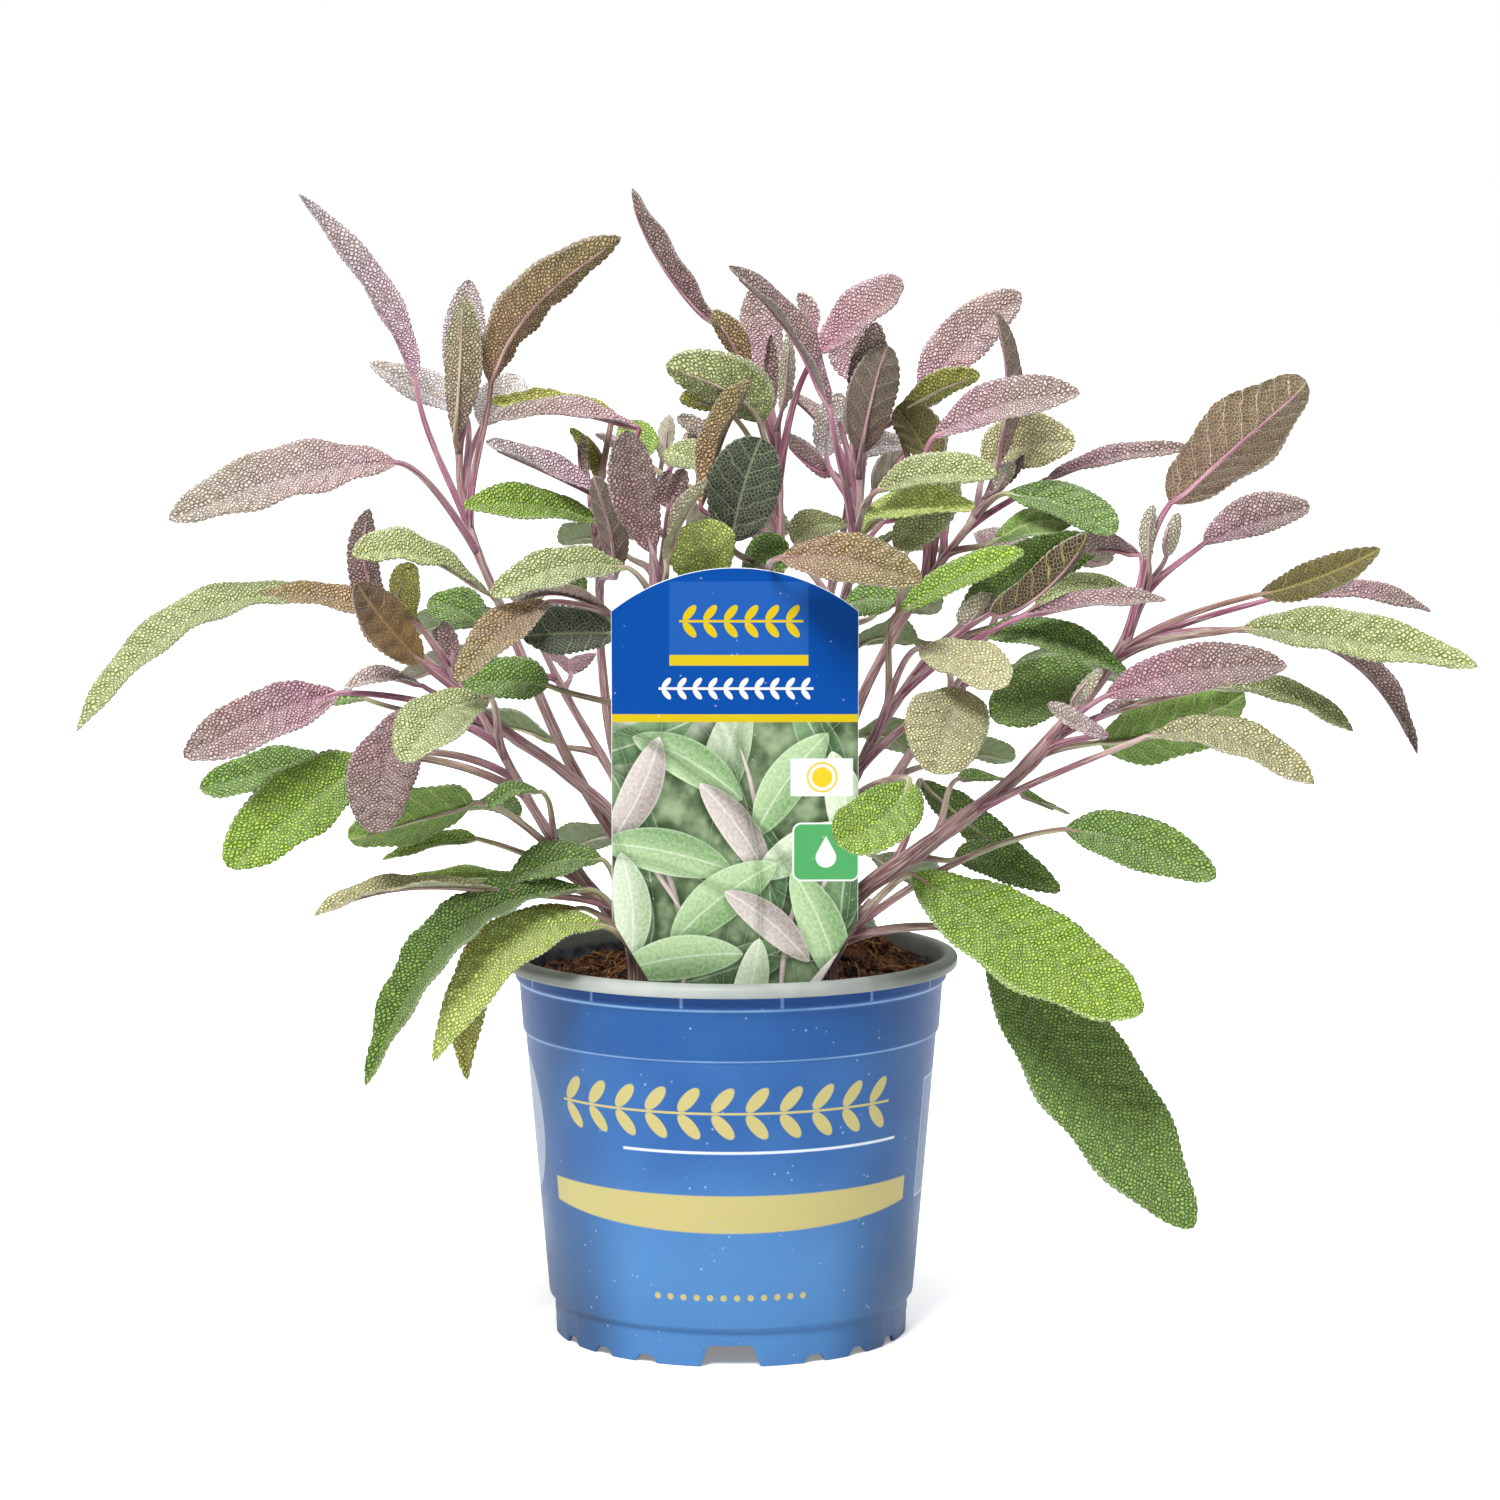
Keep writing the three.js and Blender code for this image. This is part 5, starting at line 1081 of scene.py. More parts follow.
# %% The plan
PLAN = """
shoot_left_tall 2.1,1.3
-17,98,2 -27,124,0 -42,150,-3 -52,172,-5 -60,191,-5 -67,208,-3 -70.5,222,0 -71,235,1
210 -82,250,2 -90.5,273,0 -112,299,-6 12 6,-8,2 lilac 30
233 -69,243,6 -69.5,260,8 -68,277,11 12 0,-10,0 lilac 14
232 -72,236,-3 -70,255,-5 -69.5,273,-5 11 1,10,0 olive 18
212 -62.5,250,2 -53,270.5,0 -28.5,288,-4 16 -5,8,3 bronze 14
206 -87,229.5,-14 -115,227.5,-24 -147,214.5,-30 19 1,-7,7 dusk 10
216 -70,243,16 -79,249,24 -94,255.5,34 12 0,-7,7 blush 14
216 -65,239,18 -60,247,26 -55,252,38 13 0,-8,6 blush 14
190 -63,195,-22 -80,207,-38 -99,205,-50 15 0,-6,8 sage_green 12
186 -66,187,-8 -71,191.5,-2 -79,194,6 13 0,-9,4 deep_green 12

shoot_left_back 2,1.1
-13,98,12 -20,124,12 -30,150,14 -34,178,12 -34.5,200,10 -36,214,8 -37,222,8
205 -34,214,-2 -51,220,-16 -70,218,-24 13 0,-7,7 bright_green 12
210 -31,243,14 -47,246.5,12 -63,245,8 13 0,-4,9 moss 12
206 -24,238.5,2 -42,244.5,-3 -62,241,-8 12 0,-4,9 rose 14
204 -31,220,-6 -48,230.5,-10 -64,235,-12 13 3,-4,9 lilac 20
218 -34.5,224,12 -36,231,14 -42,238.5,16 8 -8,5,5 moss 22
218 -36.5,222,6 -37.5,230,8 -38.5,237,9 5 9,2,0 dusk 30
196 -30,200,-12 -31,213,-16 -36,226,-18 10 2,9,2 umber 24
190 -39,194,22 -47,202,34 -57,201,46 14 0,-4,9 deep_green 12

shoot_left_mid 2.5,1.4
-9,98,-10 -16,118,-16 -28,134,-22 -45,149,-27 -58,158,-29 -68,167,-30 -74,176,-30
172 -84,188,-30 -104,195,-32 -124,195.5,-30 10 1,-6,8 bronze 12
168 -81,177,-40 -89.5,187,-50 -98,198,-56 13 3,-9,2 russet 12
174 -88,182,-22 -96,200,-20 -94.5,217.5,-16 10 -3,9,1 plum 20
174 -83,189,-26 -85.5,196,-34 -83,203,-44 11 4,8,3 moss 24
175 -73,178,-34 -74,183,-36 -75.5,188,-37 6 -2,-9,0 plum 20
175 -75,177,-27 -76,182,-26 -77,186.5,-25 5 -6,8,0 plum 20
170 -104,193,-16 -141,191,-24 -172,159,-40 15 -2,-6,8 sage_green 12
166 -81,171,-34 -91,174.5,-40 -101.5,170,-46 7 0,-5,8 mauve 16
162 -103,169,-42 -123,164.5,-52 -144,152,-60 16 1,-8,6 purple 10
160 -96,167.5,-30 -101,168,-30 -107,166,-30 5 0,-6,8 green 10

shoot_left_low 2.2,1.3
-23,98,-17 -33,112,-24 -44,126,-32 -53,140,-36 -60,153,-38 -66,164,-38
156 -64,168,-56 -77,164.5,-74 -86,150.5,-92 17 1,-6,8 sage_green 10
159 -85,165,-50 -91.5,149,-66 -93,132,-76 18 -1,-9,4 plum 10
150 -108,152,-22 -123,149.5,-18 -140,144,-14 14 0,-7,7 deep_green 10
146 -95,151,-38 -112.5,140.5,-46 -133,123,-56 21 1,-8,6 bright_green 10
126 -68,140,-46 -83,137,-52 -101,130.5,-56 19 1,8,6 net_green 8
120 -67,130.5,-40 -79,130.5,-40 -92,125,-38 11 0,-3,9 bright_green 12
132 -50,143,-48 -57,144,-56 -64,138.5,-64 7 0,-5,8 deep_green 12
128 -56,136,-20 -63,141,-10 -72,138,0 12 0,-4,9 green 12

shoot_left_foot 2.4,1.8
-25,98,-31 -27,107,-34 -30,116,-36
114 -60,117,-50 -88,119.7,-60 -110,110,-70 12 0,-1,10 dusk_green 16
115 -56,120,-36 -71,121.5,-30 -86,120,-24 11 0,-2,10 bright_green 12
108 -37,117,-42 -74,109,-60 -97,64.5,-66 18 -3,-7,7 deep_green 24
112 -34,125,-38 -45,126,-42 -58,119.5,-48 13 0,-6,8 deep_green 12
106 -40,112,-38 -65,99,-46 -70,66,-48 13 -2,-8,5 moss 12
102 -33,107,-42 -58,103,-56 -79,71,-62 16 0,-6,8 leaf_yellow 8

shoot_front_left 2,1.2
-7,98,-20 -9,130,-26 -14,165,-32 -18,188,-35 -18,203,-36 -16,215,-35
196 -20.5,206,-42 -25,222,-48 -27,238,-50 13 -1,-10,1 plum 12
212 -16,218,-36 -14,223,-37 -12.5,228,-38 6 2,-9,1 plum 20
212 -16.5,218,-32 -17,222,-31 -16,227.5,-30 6 -2,-9,0 plum 20
194 -17,204,-46 -15.5,215,-52 -6,225,-58 10 -7,-3,6 olive 20
186 -5,198,-38 -7,206,-42 -9,214.5,-44 18 1,-9,3 leaf_yellow 8
190 -27,202,-44 -44,203.5,-54 -63,194.5,-62 13 0,-7,7 sage_green 10
182 -48,193,-52 -60,187,-64 -72,172,-74 13 -1,-7,7 bronze 12
184 -31,190,-34 -45,197,-34 -58,192,-32 10 0,-1,10 umber 12
176 -30,185,-42 -42,185.5,-50 -55,184,-58 14 0,-9,4 net_deep 10
160 -48,171,-36 -58,173,-37 -71,172,-38 14 0,-8,6 deep_green 10

shoot_centre 2.4,1.4
1,98,2 4,135,1 9,170,-2 12.5,200,-4 12.5,222,-5 12,240,-5
238 13,242,-8 14.5,252,-9 15,264,-9 6 0,10,0 bud 30
238 11,243,-2 10.5,252,0 10.5,263,2 6 3,-9,0 plum 30
232 -3,265,4 -14.5,283,2 -25.5,300.5,-2 11 8,3,5 plum 30
230 4,254,-6 1,262,-8 -5,269,-10 9 5,8,4 bronze 16
234 9,252,14 8,263,20 6,275,26 12 0,-10,1 rose 12
224 22.5,258,-14 33,269,-20 45,275.5,-26 16 -3,-8,6 pink 16
222 7.5,240,-16 0,249,-20 -17,255,-24 17 -2,8,5 sage_green 12
214 -1,243,-14 -7,246,-16 -13.5,246,-18 8 0,8,6 moss 12
210 -5,235,-6 -9,239,-4 -14,241.5,-2 6 0,-7,7 dusk 12
206 -8,218,-22 -5,238,-26 5.5,251,-30 12 -8,-6,2 bronze 28
196 0,209,-30 3,222,-36 8,236,-38 19 0,-10,1 net_deep 8
188 3,199,-18 8,207,-20 14,201,-24 12 0,-7,7 deep_green 10
188 13,204.6,-57 30,205.4,-66 50,198.5,-72 15 0,-8,6 bronze 8
206 -22,231,22 -24,236,28 -28,240,34 11 0,-8,6 bright_green 12
200 -9,228,16 -12,232,20 -17,233,26 12 0,-8,6 sage_green 12

shoot_centre_right 2.1,1.2
9,98,8 14,130,6 22,165,2 30,195,-4 33.5,215,-8 33.5,228,-9
206 26,243,-28 18,266,-32 -0.5,280.5,-36 13 6,-4,7 purple 24
226 34,232,-14 37,246,-17 41,260,-18 14 1,10,0 umber 14
226 33,240,-5 35,253,-3 38,266,0 10 0,-10,0 plum 14
214 25,231,2 25.5,239,6 29,247.5,10 10 0,-9,4 blush 14
204 26.5,227,14 21,230.5,20 13.5,237,26 11 0,7,7 rose 12
216 34,231,4 40,235.5,10 48,233.5,18 10 0,-7,7 blush 14
210 38,222,-34 52,228,-40 69.5,226,-46 13 0,-7,7 sage_green 16
198 43,207,-24 50,216,-26 58.5,227,-28 13 2,-9,4 sage_green 10
194 34,210.5,-28 42,219.5,-34 64,217.5,-42 17 0,-5,9 leaf_yellow 14
214 32,251,14 30,258,18 29,266,22 11 0,-10,1 rose 12
214 22,264,26 20.5,269,28 17.5,273.5,30 5 0,-9,2 rose 12
188 17,208,12 22,214,18 30,214,26 12 0,-6,8 sage_green 12
176 30,192,-34 36,194.5,-38 43,193,-42 13 0,-8,6 green 8

shoot_right_up 2.2,1.2
15,98,2 22,130,0 32,162,-4 42,183,-8 54,202,-11 63,214,-12 68,222,-12
204 49.5,248,14 60.5,261.5,18 75.5,273.5,20 15 -2,-9,3 rose 10
220 70,229,-4 74.5,249,-2 69,269,0 9 8,5,2 umber 24
196 53,236,-24 69,246,-32 91,247.5,-38 14 -1,-8,6 rose 14
214 67,228,6 76.5,235,12 90,235,18 17 -1,-9,4 dusk_green 10
212 82,225,-12 98,231.5,-18 121,233.5,-24 8 0,-6,8 purple 14
221 69,222,-16 71,226,-17 74,230,-18 6 0,9,3 bud 30
221 71,223,-10 74,227,-10 76.5,231.5,-10 4 -2,-9,0 plum 30
216 72,221.5,-20 88,219.5,-30 100,210.5,-40 15 0,-6,8 green 10
206 69,209,-16 79,215,-22 89,213,-28 12 0,-7,7 net_green 10
200 44,243,2 54,249.5,6 65,252,10 10 1,8,6 moss 12
198 52.5,229,-4 49,238,-2 43,244,0 15 3,-8,5 moss_brown 12
184 46,206,8 50,209,14 57,205,20 8 0,-6,8 moss 12

shoot_right_mid 2.2,1.3
18,98,-8 24,124,-14 34,150,-22 43,166,-27 53,180,-30 60,186,-31
184 60.5,187,-36 63,191,-38 67.5,195.5,-40 8 -4,8,4 bud 24
185 64,188,-28 66.5,192,-28 68.5,195,-29 5 3,-9,0 plum 24
176 68,190,-44 80,198.5,-50 93,211,-54 13 -5,8,4 night 26
170 77,189.5,-50 95,194.5,-56 114,193.5,-60 10 0,-4,9 purple 14
182 80,192,-22 91,198.5,-14 104.5,196.5,-6 11 0,-5,8 sage_green 12
180 60,187,-10 77,202,-4 98,208.5,0 15 0,-9,5 deep_green 10
170 65,184,-38 84,185,-44 104,174,-47 13 0,-6,8 deep_green 12
158 50,181,-52 61,179,-66 71,170,-82 17 2,-8,5 dusk_green 8
150 61,170,-58 57,162,-76 54,147.5,-88 21 1,-8,6 dusk_green 8
164 43.5,190,-36 59.5,200.5,-42 77,206,-48 11 0,-7,7 bright_green 12
140 47,145.5,-56 39,136.5,-74 27,130.5,-82 19 1,-6,8 bright_green 10

shoot_right_big 3.1,1.6
22,98,-24 33,115,-32 48,126,-38 60,135,-41 74,146,-42
86,159,-41 96,171,-38 103,182,-35 107,192,-33 110,200,-32
184 115,219,-38 131,236.5,-42 150,251,-46 25 -3,8,4 net_umber 12
196 124,208.5,-24 137,216,-20 151.5,218,-18 15 -2,-7,7 rose 16
198 109.5,203,-36 109,211,-38 110.5,218.5,-39 6 0,10,0 bud 30
198 114,205,-29 115.5,210,-28 117,216.5,-27 7 6,7,0 bud 30
182 138.5,195,-42 153,199.5,-48 170,207,-52 10 0,-9,4 moss_brown 10
180 142,194,-30 164,196.5,-28 183.5,190.5,-24 10 0,-5,9 purple 12
180 134,186,-52 160,185.5,-62 196,176,-74 16 0,-7,7 sage_green 14
182 146,185,-38 168,176.3,-38 180.5,153,-36 10 4,-6,6 plum 24
186 107,205.5,-28 100,209,-24 91.5,206.5,-20 12 0,6,8 rose 16
162 98,168,-52 121,176,-58 146,176,-62 14 0,-8,5 purple 10
160 126,170.5,-42 146,170,-42 163.5,159,-42 11 0,-5,9 sage_green 12
156 97,156,-36 115,160.5,-36 135,169,-38 20 0,9,3 net_green 8
140 109,157.5,-60 131,159,-70 153.5,145,-80 14 1,-6,8 dusk_green 12
158 99,158,-50 93,161,-56 83,166,-62 8 0,-7,7 mauve 14
162 97,163,-44 101,166,-46 106,166.5,-48 6 0,-5,9 purple 14
158 90,166,-47 93,170,-49 97.5,175.5,-50 6 6,7,0 bud 30
158 94,168,-30 83,170,-24 68,163,-18 22 0,-8,6 green 8
130 59,125,-32 71,124.5,-26 87,116.5,-22 12 0,-8,6 deep_green 10
126 50,146,-6 63,136,4 84,118,8 12 -2,6,8 deep_green 12
134 60,146.5,-20 66,147.5,-16 73,146,-12 8 0,-3,9 green 10
140 76,143,-30 82,141,-28 89.5,137,-26 8 0,-2,10 green 10

shoot_right_foot 2.5,1.8
26,98,-33 31,106,-37 37,114,-40
112 48,121,-58 77,104.5,-72 109,84,-84 25 1,-8,6 bright_green 6
108 68,104,-50 93.5,69,-58 123,26,-62 28 2,-9,4 green 6
110 88,133,-48 106,130.5,-54 128,120,-60 16 0,-8,6 green 10

shoot_mid_back_left 2.1,1.2
-6,98,10 -10,130,16 -16,165,22 -20,195,28 -20,215,32 -18,226,34
216 -24,232,38 -30,238,48 -28,232,60 12 -2,6,7 lilac 14
216 -14,232,38 -8,240,48 0,240,58 12 0,6,7 rose 14
218 -18,230,36 -17,236,37 -16,242,38 6 0,9,2 bud 24
198 -28,206,40 -36,212,52 -44,208,66 14 0,6,7 green 12
196 -12,208,38 -4,215,43 6,212,48 14 0,6,7 sage_green 12
172 -24,184,36 -30,190,50 -34,184,64 15 0,7,7 deep_green 12
154 -8,163,26 0,170,30 9,169,34 15 0,6,8 green 12

shoot_mid_back_right 2.1,1.2
10,98,14 14,130,18 20,165,22 26,195,26 30,215,28 32,232,30
222 26,238,34 20,246,44 13,249,56 12 -2,6,7 rose 14
222 38,238,34 46,245,44 54,245,56 12 2,6,7 lilac 14
224 32,238,32 33,245,33 34,252,33 6 0,9,2 bud 24
200 22,208,36 16,214,48 8,210,60 14 0,6,7 sage_green 12
198 38,208,38 46,214,50 56,210,62 14 0,6,7 green 12
170 30,180,34 38,186,46 48,182,58 15 0,7,7 deep_green 12
144 12,152,34 6,158,46 -2,152,60 15 0,7,7 green 12

shoot_back_left 2.1,1.2
-14,98,20 -19,120,36 -30,145,54 -42,166,68 -49,180,76 -52,187,80
178 -60,190,88 -72,190,100 -86,184,108 15 -2,7,7 green 12
178 -51,193,90 -49,198,102 -45,197,114 13 0,7,7 sage_green 12
180 -53,191,79 -55,195,77 -58,197,73 8 0,9,2 bud 24
166 -56,174,74 -70,179,82 -88,172,88 16 0,5,8 dusk 12
162 -42,174,84 -42,180,98 -44,177,112 15 0,6,7 purple 12
146 -46,156,66 -56,162,78 -70,161,90 15 0,6,7 deep_green 12
128 -28,132,60 -38,132,76 -50,122,90 16 0,6,7 green 12

shoot_back_mid_left 2.2,1.2
-4,98,30 -5,125,40 -8,155,50 -10,180,56 -10,200,60
188 -14,208,68 -20,214,78 -30,210,88 14 -2,7,7 lilac 14
188 -4,208,68 4,215,76 14,213,88 14 2,7,7 rose 14
190 -9,206,62 -9,213,62 -11,220,60 7 0,9,2 bud 24
170 -16,180,66 -21,186,78 -22,180,92 15 0,7,7 sage_green 12
168 -2,180,68 6,186,80 12,180,96 16 0,7,7 green 12
144 -14,150,64 -20,154,78 -24,144,94 16 0,7,7 deep_green 12

shoot_back_mid_right 2.2,1.2
12,98,26 16,122,38 22,150,50 28,176,58 31,198,62 32,212,62
200 37,222,68 41,230,74 48,236,82 13 -2,7,6 rose 14
196 40,214,70 49,219,78 58,217,86 13 2,7,6 lilac 14
202 32,220,60 33,228,58 35,235,57 6 0,9,2 bud 24
182 20,190,70 14,196,82 6,192,94 14 0,7,7 green 12
180 38,190,70 46,196,82 54,190,96 15 0,7,7 sage_green 12
152 32,158,64 40,160,78 50,152,92 16 0,7,7 deep_green 12
130 28,138,60 33,141,76 34,134,92 15 0,7,7 green 12

shoot_back_right 2.1,1.2
20,98,18 28,120,32 42,145,46 56,166,58 66,182,64 72,195,68
186 80,202,74 90,206,82 99,203,90 14 0,6,8 rose 12
186 68,204,78 70,210,90 66,212,102 13 0,7,7 purple 12
188 73,200,70 75,206,72 77,211,74 7 0,9,2 bud 24
164 74,176,68 88,180,76 103,172,86 15 0,6,7 green 12
162 56,178,74 54,184,88 58,178,102 15 0,6,7 sage_green 12
140 55,152,64 64,155,76 74,151,88 14 0,6,7 deep_green 12
122 38,126,52 46,124,68 54,117,82 15 0,6,7 green 12

shoot_back_low 2.4,1.4
2,98,40 2,110,48 2,124,56
110 -12,116,62 -26,112,80 -38,98,92 16 -2,6,7 bright_green 10
110 14,118,62 28,112,82 38,98,94 16 2,6,7 green 10
114 2,128,68 2,130,86 4,118,104 18 0,7,7 green 10
116 -6,131,60 -14,137,70 -18,137,82 10 0,7,7 sage_green 12
116 8,132,60 16,138,68 22,137,80 10 0,7,7 sage_green 12
"""


def numbers(text):
    """The numbers of a place, a direction or a pair of radii, such as 4,-7.5,2."""
    return [float(number) for number in text.split(",")]


def read_leaf(line):
    """One leaf of the plan, as a list."""
    up, foot, middle, tip, width, face, tone, rise = line.split()
    places = [numbers(text) for text in (foot, middle, tip)]
    return [float(up), *places, float(width), numbers(face), tone, float(rise)]


def read_shoot(block):
    """One shoot of the plan: its name, and its radii, stem and leaves. A line that starts with a place
    belongs to the stem, and one that starts with a height is a leaf."""
    head, *lines = block.splitlines()
    name, radii = head.split()
    stem = [line for line in lines if "," in line.split()[0]]
    plan = {"thick": numbers(radii)}
    plan["stem"] = [numbers(text) for text in " ".join(stem).split()]
    plan["leaves"] = [read_leaf(line) for line in lines if line not in stem]
    return name, plan


SHOOTS = dict(read_shoot(block) for block in PLAN.strip().split("\n\n"))
leaves = sum(len(shoot["leaves"]) for shoot in SHOOTS.values())
print("plan:", len(SHOOTS), "leafy stems,", leaves, "leaves")

# %% [markdown]
# ## Lines through the plant
#
# A stem is a smooth curve through the places in the plan. A leaf's blade bends in one arc, and its stalk
# leaves the stem at a slant and meets the blade in its direction: two Bezier curves.

# %% Curves
EYE_DISTANCE = -EYE[1]


def seen(points):
    """Places [across, up, depth] as the eye sees them against an upright sheet through the pot's axis,
    moved along their lines of sight to their real depth."""
    across, up, depth = np.moveaxis(np.asarray(points, float), -1, 0)
    sheet = np.stack([across, np.zeros_like(across), up], -1)
    return EYE + (sheet - EYE) * (1 + depth / EYE_DISTANCE)[..., None]


def through(points, share):
    """Catmull-Rom: between two points the curve is the cubic whose slope at each of them is half the step
    from the point before it to the point after it. Returns places and directions at shares of the way."""
    ends = np.concatenate([[2 * points[0] - points[1]], points, [2 * points[-1] - points[-2]]])
    t = np.asarray(share, float) * (len(points) - 1)
    i = np.clip(t.astype(int), 0, len(points) - 2)
    w = (t - i)[..., None]
    before, a, b, after = (ends[i + k] for k in range(4))
    bend = 2 * before - 5 * a + 4 * b - after
    twist = 3 * (a - b) + after - before
    place = a + 0.5 * w * ((b - before) + w * (bend + w * twist))
    return place, unit((b - before) + w * (2 * bend + 3 * w * twist))


def bezier(corners, share):
    """A Bezier curve of any degree by de Casteljau's halving: neighbours are blended again and again until
    one point is left. Its direction is that of the last two."""
    t = np.asarray(share, float)[..., None]
    row = [np.broadcast_to(c, t.shape[:-1] + (3,)) for c in corners]
    while len(row) > 2:
        row = [a + (b - a) * t for a, b in zip(row, row[1:])]
    return row[0] + (row[1] - row[0]) * t, unit(row[1] - row[0])


def length(places):
    return float(np.linalg.norm(np.diff(places, axis=0), axis=1).sum())


def square_to(normal, way):
    """The part of a direction that is square to a curve."""
    return unit(normal - (normal * way).sum(-1, keepdims=True) * way)


print("curves: a stem, a blade and a stalk can be laid")

# %% [markdown]
# ## Colours of the leaves
#
# Purple sage carries its colour in a felt of hairs over the leaf. Young leaves are pink and lilac above,
# older ones turn sage green, and leaves in the shade of others are a deep green. The underside is paler,
# with a raised net of veins. Each tone in the plan names a pair of colours for the upper side, from the
# foot to the tip, one for the underside, and one for the ribs. Two tones carry painted light and shade:
# blush is a pale pink lightened to near white, and net_deep is a deep green painted nearly black.

# %% Tones
TONES = {
    # name: above at the foot, above at the tip, below, and the ribs
    "lilac": ["#f0cadf", "#ecdfe2", "#b5aa9f", "#c386a0"],
    "rose": ["#dab2c0", "#ceb9b2", "#a79b8c", "#c982a0"],
    "pink": ["#e2aec2", "#d9bcbc", "#b3a597", "#cf7f9e"],
    "purple": ["#ca99ab", "#bda5a0", "#9a8c84", "#b9799a"],
    "mauve": ["#f2dae2", "#e8d8d2", "#b8b0a0", "#b98a98"],
    "plum": ["#aa8086", "#9d847e", "#7c6e68", "#a97f8c"],
    "dusk": ["#d6b8bc", "#c8bcae", "#a8a48c", "#bd9aa0"],
    "bronze": ["#c29c76", "#b4a066", "#95906c", "#b08e84"],
    # blush: a pale pink lightened to near white, painted light where the light shines through these young
    # leaves.
    "blush": ["#fff6fa", "#fff6f2", "#e6dcd4", "#c995ab"],
    "olive": ["#b8a28c", "#b8b288", "#a3a878", "#b7b489"],
    "bud": ["#f2ead8", "#e0dcc4", "#d2ccb8", "#c4b0a6"],
    "moss": ["#ccca5c", "#d6da66", "#aeb482", "#bdbb88"],
    "russet": ["#b48a40", "#7e5a4c", "#a58a52", "#a5706a"],
    "night": ["#46301f", "#382820", "#b09c54", "#a5808a"],
    "umber": ["#6c4f44", "#625340", "#84705e", "#a5808a"],
    "net_umber": ["#a6836b", "#9e865c", "#dccbae", "#c98fa6"],
    # net_deep: a deep green painted nearly black, partly the leaf's own colour and partly painted shade.
    "net_deep": ["#25340f", "#2a3a12", "#8b9872", "#a3a878"],
    "moss_brown": ["#6e6420", "#746a2c", "#a0944c", "#b5a67c"],
    "net_green": ["#7eb034", "#8abb3e", "#c6d084", "#b9cc92"],
    "green": ["#7ca634", "#88ae3e", "#93a877", "#b6c88e"],
    "deep_green": ["#729a22", "#80aa2e", "#7f9859", "#9bb36a"],
    "bright_green": ["#98c028", "#a9ce30", "#a3b878", "#c3d48c"],
    "sage_green": ["#bfca88", "#cad492", "#aeb98d", "#c9cfa2"],
    "leaf_yellow": ["#cfe674", "#dbeb7c", "#b4be7e", "#c6cc88"],
    "dusk_green": ["#d4d09a", "#dbd6a2", "#b2b48f", "#c4b0a2"],
}
NETTED = ("russet", "night", "net_umber", "net_deep", "moss_brown", "net_green")  # with clear pale veins
UNDERSIDES = ("umber", "net_umber", "moss_brown", "net_green")  # tones of leaves that show their underside
PAINTS = {name: [np.array(shade(code)) for code in codes] for name, codes in TONES.items()}
print("tones:", len(TONES))

# %% [markdown]
# ## A leaf
#
# A sage leaf is a long oval with a blunt tip. Its two halves rise a little from the midrib, the blade is
# slightly twisted, its edge waves, the skin bulges between the side veins, and the edge has small round
# teeth. One leaf could be modelled by hand and copied, but then all would be the same. Here all of that is
# a function of two numbers, how far along the blade and how far across, and a few drawn at random for each
# leaf. The upper side and the underside are two such skins a third of a millimetre apart, joined at the
# edge, so that the leaf is a closed body as the real one is.

# %% The blade
ROW_STEP = 0.64  # mm along the blade, a third of a tooth
COLUMN_STEP = 0.95  # mm across the blade
SKIN = 0.36  # mm from the upper side to the underside
VEIN_STEP = 5.2  # mm between side veins
VEIN_SLANT = 0.8  # mm that a side vein runs on along the blade for each mm across
VISIBLE_FOLD = 1.5  # a leaf's halves rise this many times the plan's degrees, so that the fold shows
TEETH = 0.27  # mm that they stand out from the edge
WAVE = 0.038  # how far the edge goes up and down, as a share of the width
CURL = 0.05  # how far the very edge bends under, as a share of half the width
GROOVE = 0.3  # mm: depth over the midrib
UNEVEN = 0.035  # share by which each half widens and narrows along the blade
LEAN = 0.07  # share by which one half is wider than the other, as a spread
TWIST = 14  # degrees: the most that a blade turns from its foot to its tip
draw = np.random.default_rng(24)


def outline(s, slender):
    """Half the width at a share s of the length, as a share of its most: s^p (1-s)^q, scaled to reach 1.
    The powers grow with length over width, so that narrow leaves are pointed and wide ones round."""
    p = np.clip(0.46 + 0.08 * slender, 0.55, 0.85)
    q = np.clip(0.38 + 0.08 * slender, 0.5, 0.76)
    return (s / p) ** p * ((1 - s) / q) ** q * (p + q) ** (p + q)


def facing(place, way, face):
    """The upper side's direction along a flat arc, from its direction at the middle, turning only as the
    arc turns: its share across the arc's plane stays, and its share in the plane turns with the arc."""
    middle = len(way) // 2
    start = square_to(face, way[middle])
    turn = np.cross(way[0], way[-1])
    across = unit(turn) if np.linalg.norm(turn) > 1e-4 else np.cross(way[middle], start)
    in_plane = np.cross(across, way)
    return (start @ across) * across + (start @ in_plane[middle]) * in_plane


def bulge(x, y, half, number):
    """Height of the skin between the veins in mm: a row of pillows on the slant, each with smaller dents,
    that fade out at the midrib and the edge."""
    phase = (x - VEIN_SLANT * np.abs(y)) / VEIN_STEP + 0.35 * np.sign(y)
    pillow = np.sin(np.pi * phase) ** 2
    inside = smooth(np.abs(y), 0.2, 1.6) * smooth(half - np.abs(y), -0.2, 1.8)
    dents = soft_noise(x / 1.7 + 31 * number, y / 1.7 + 7 * number, 3) - 0.5
    return inside * (0.55 * pillow + 0.5 * dents)


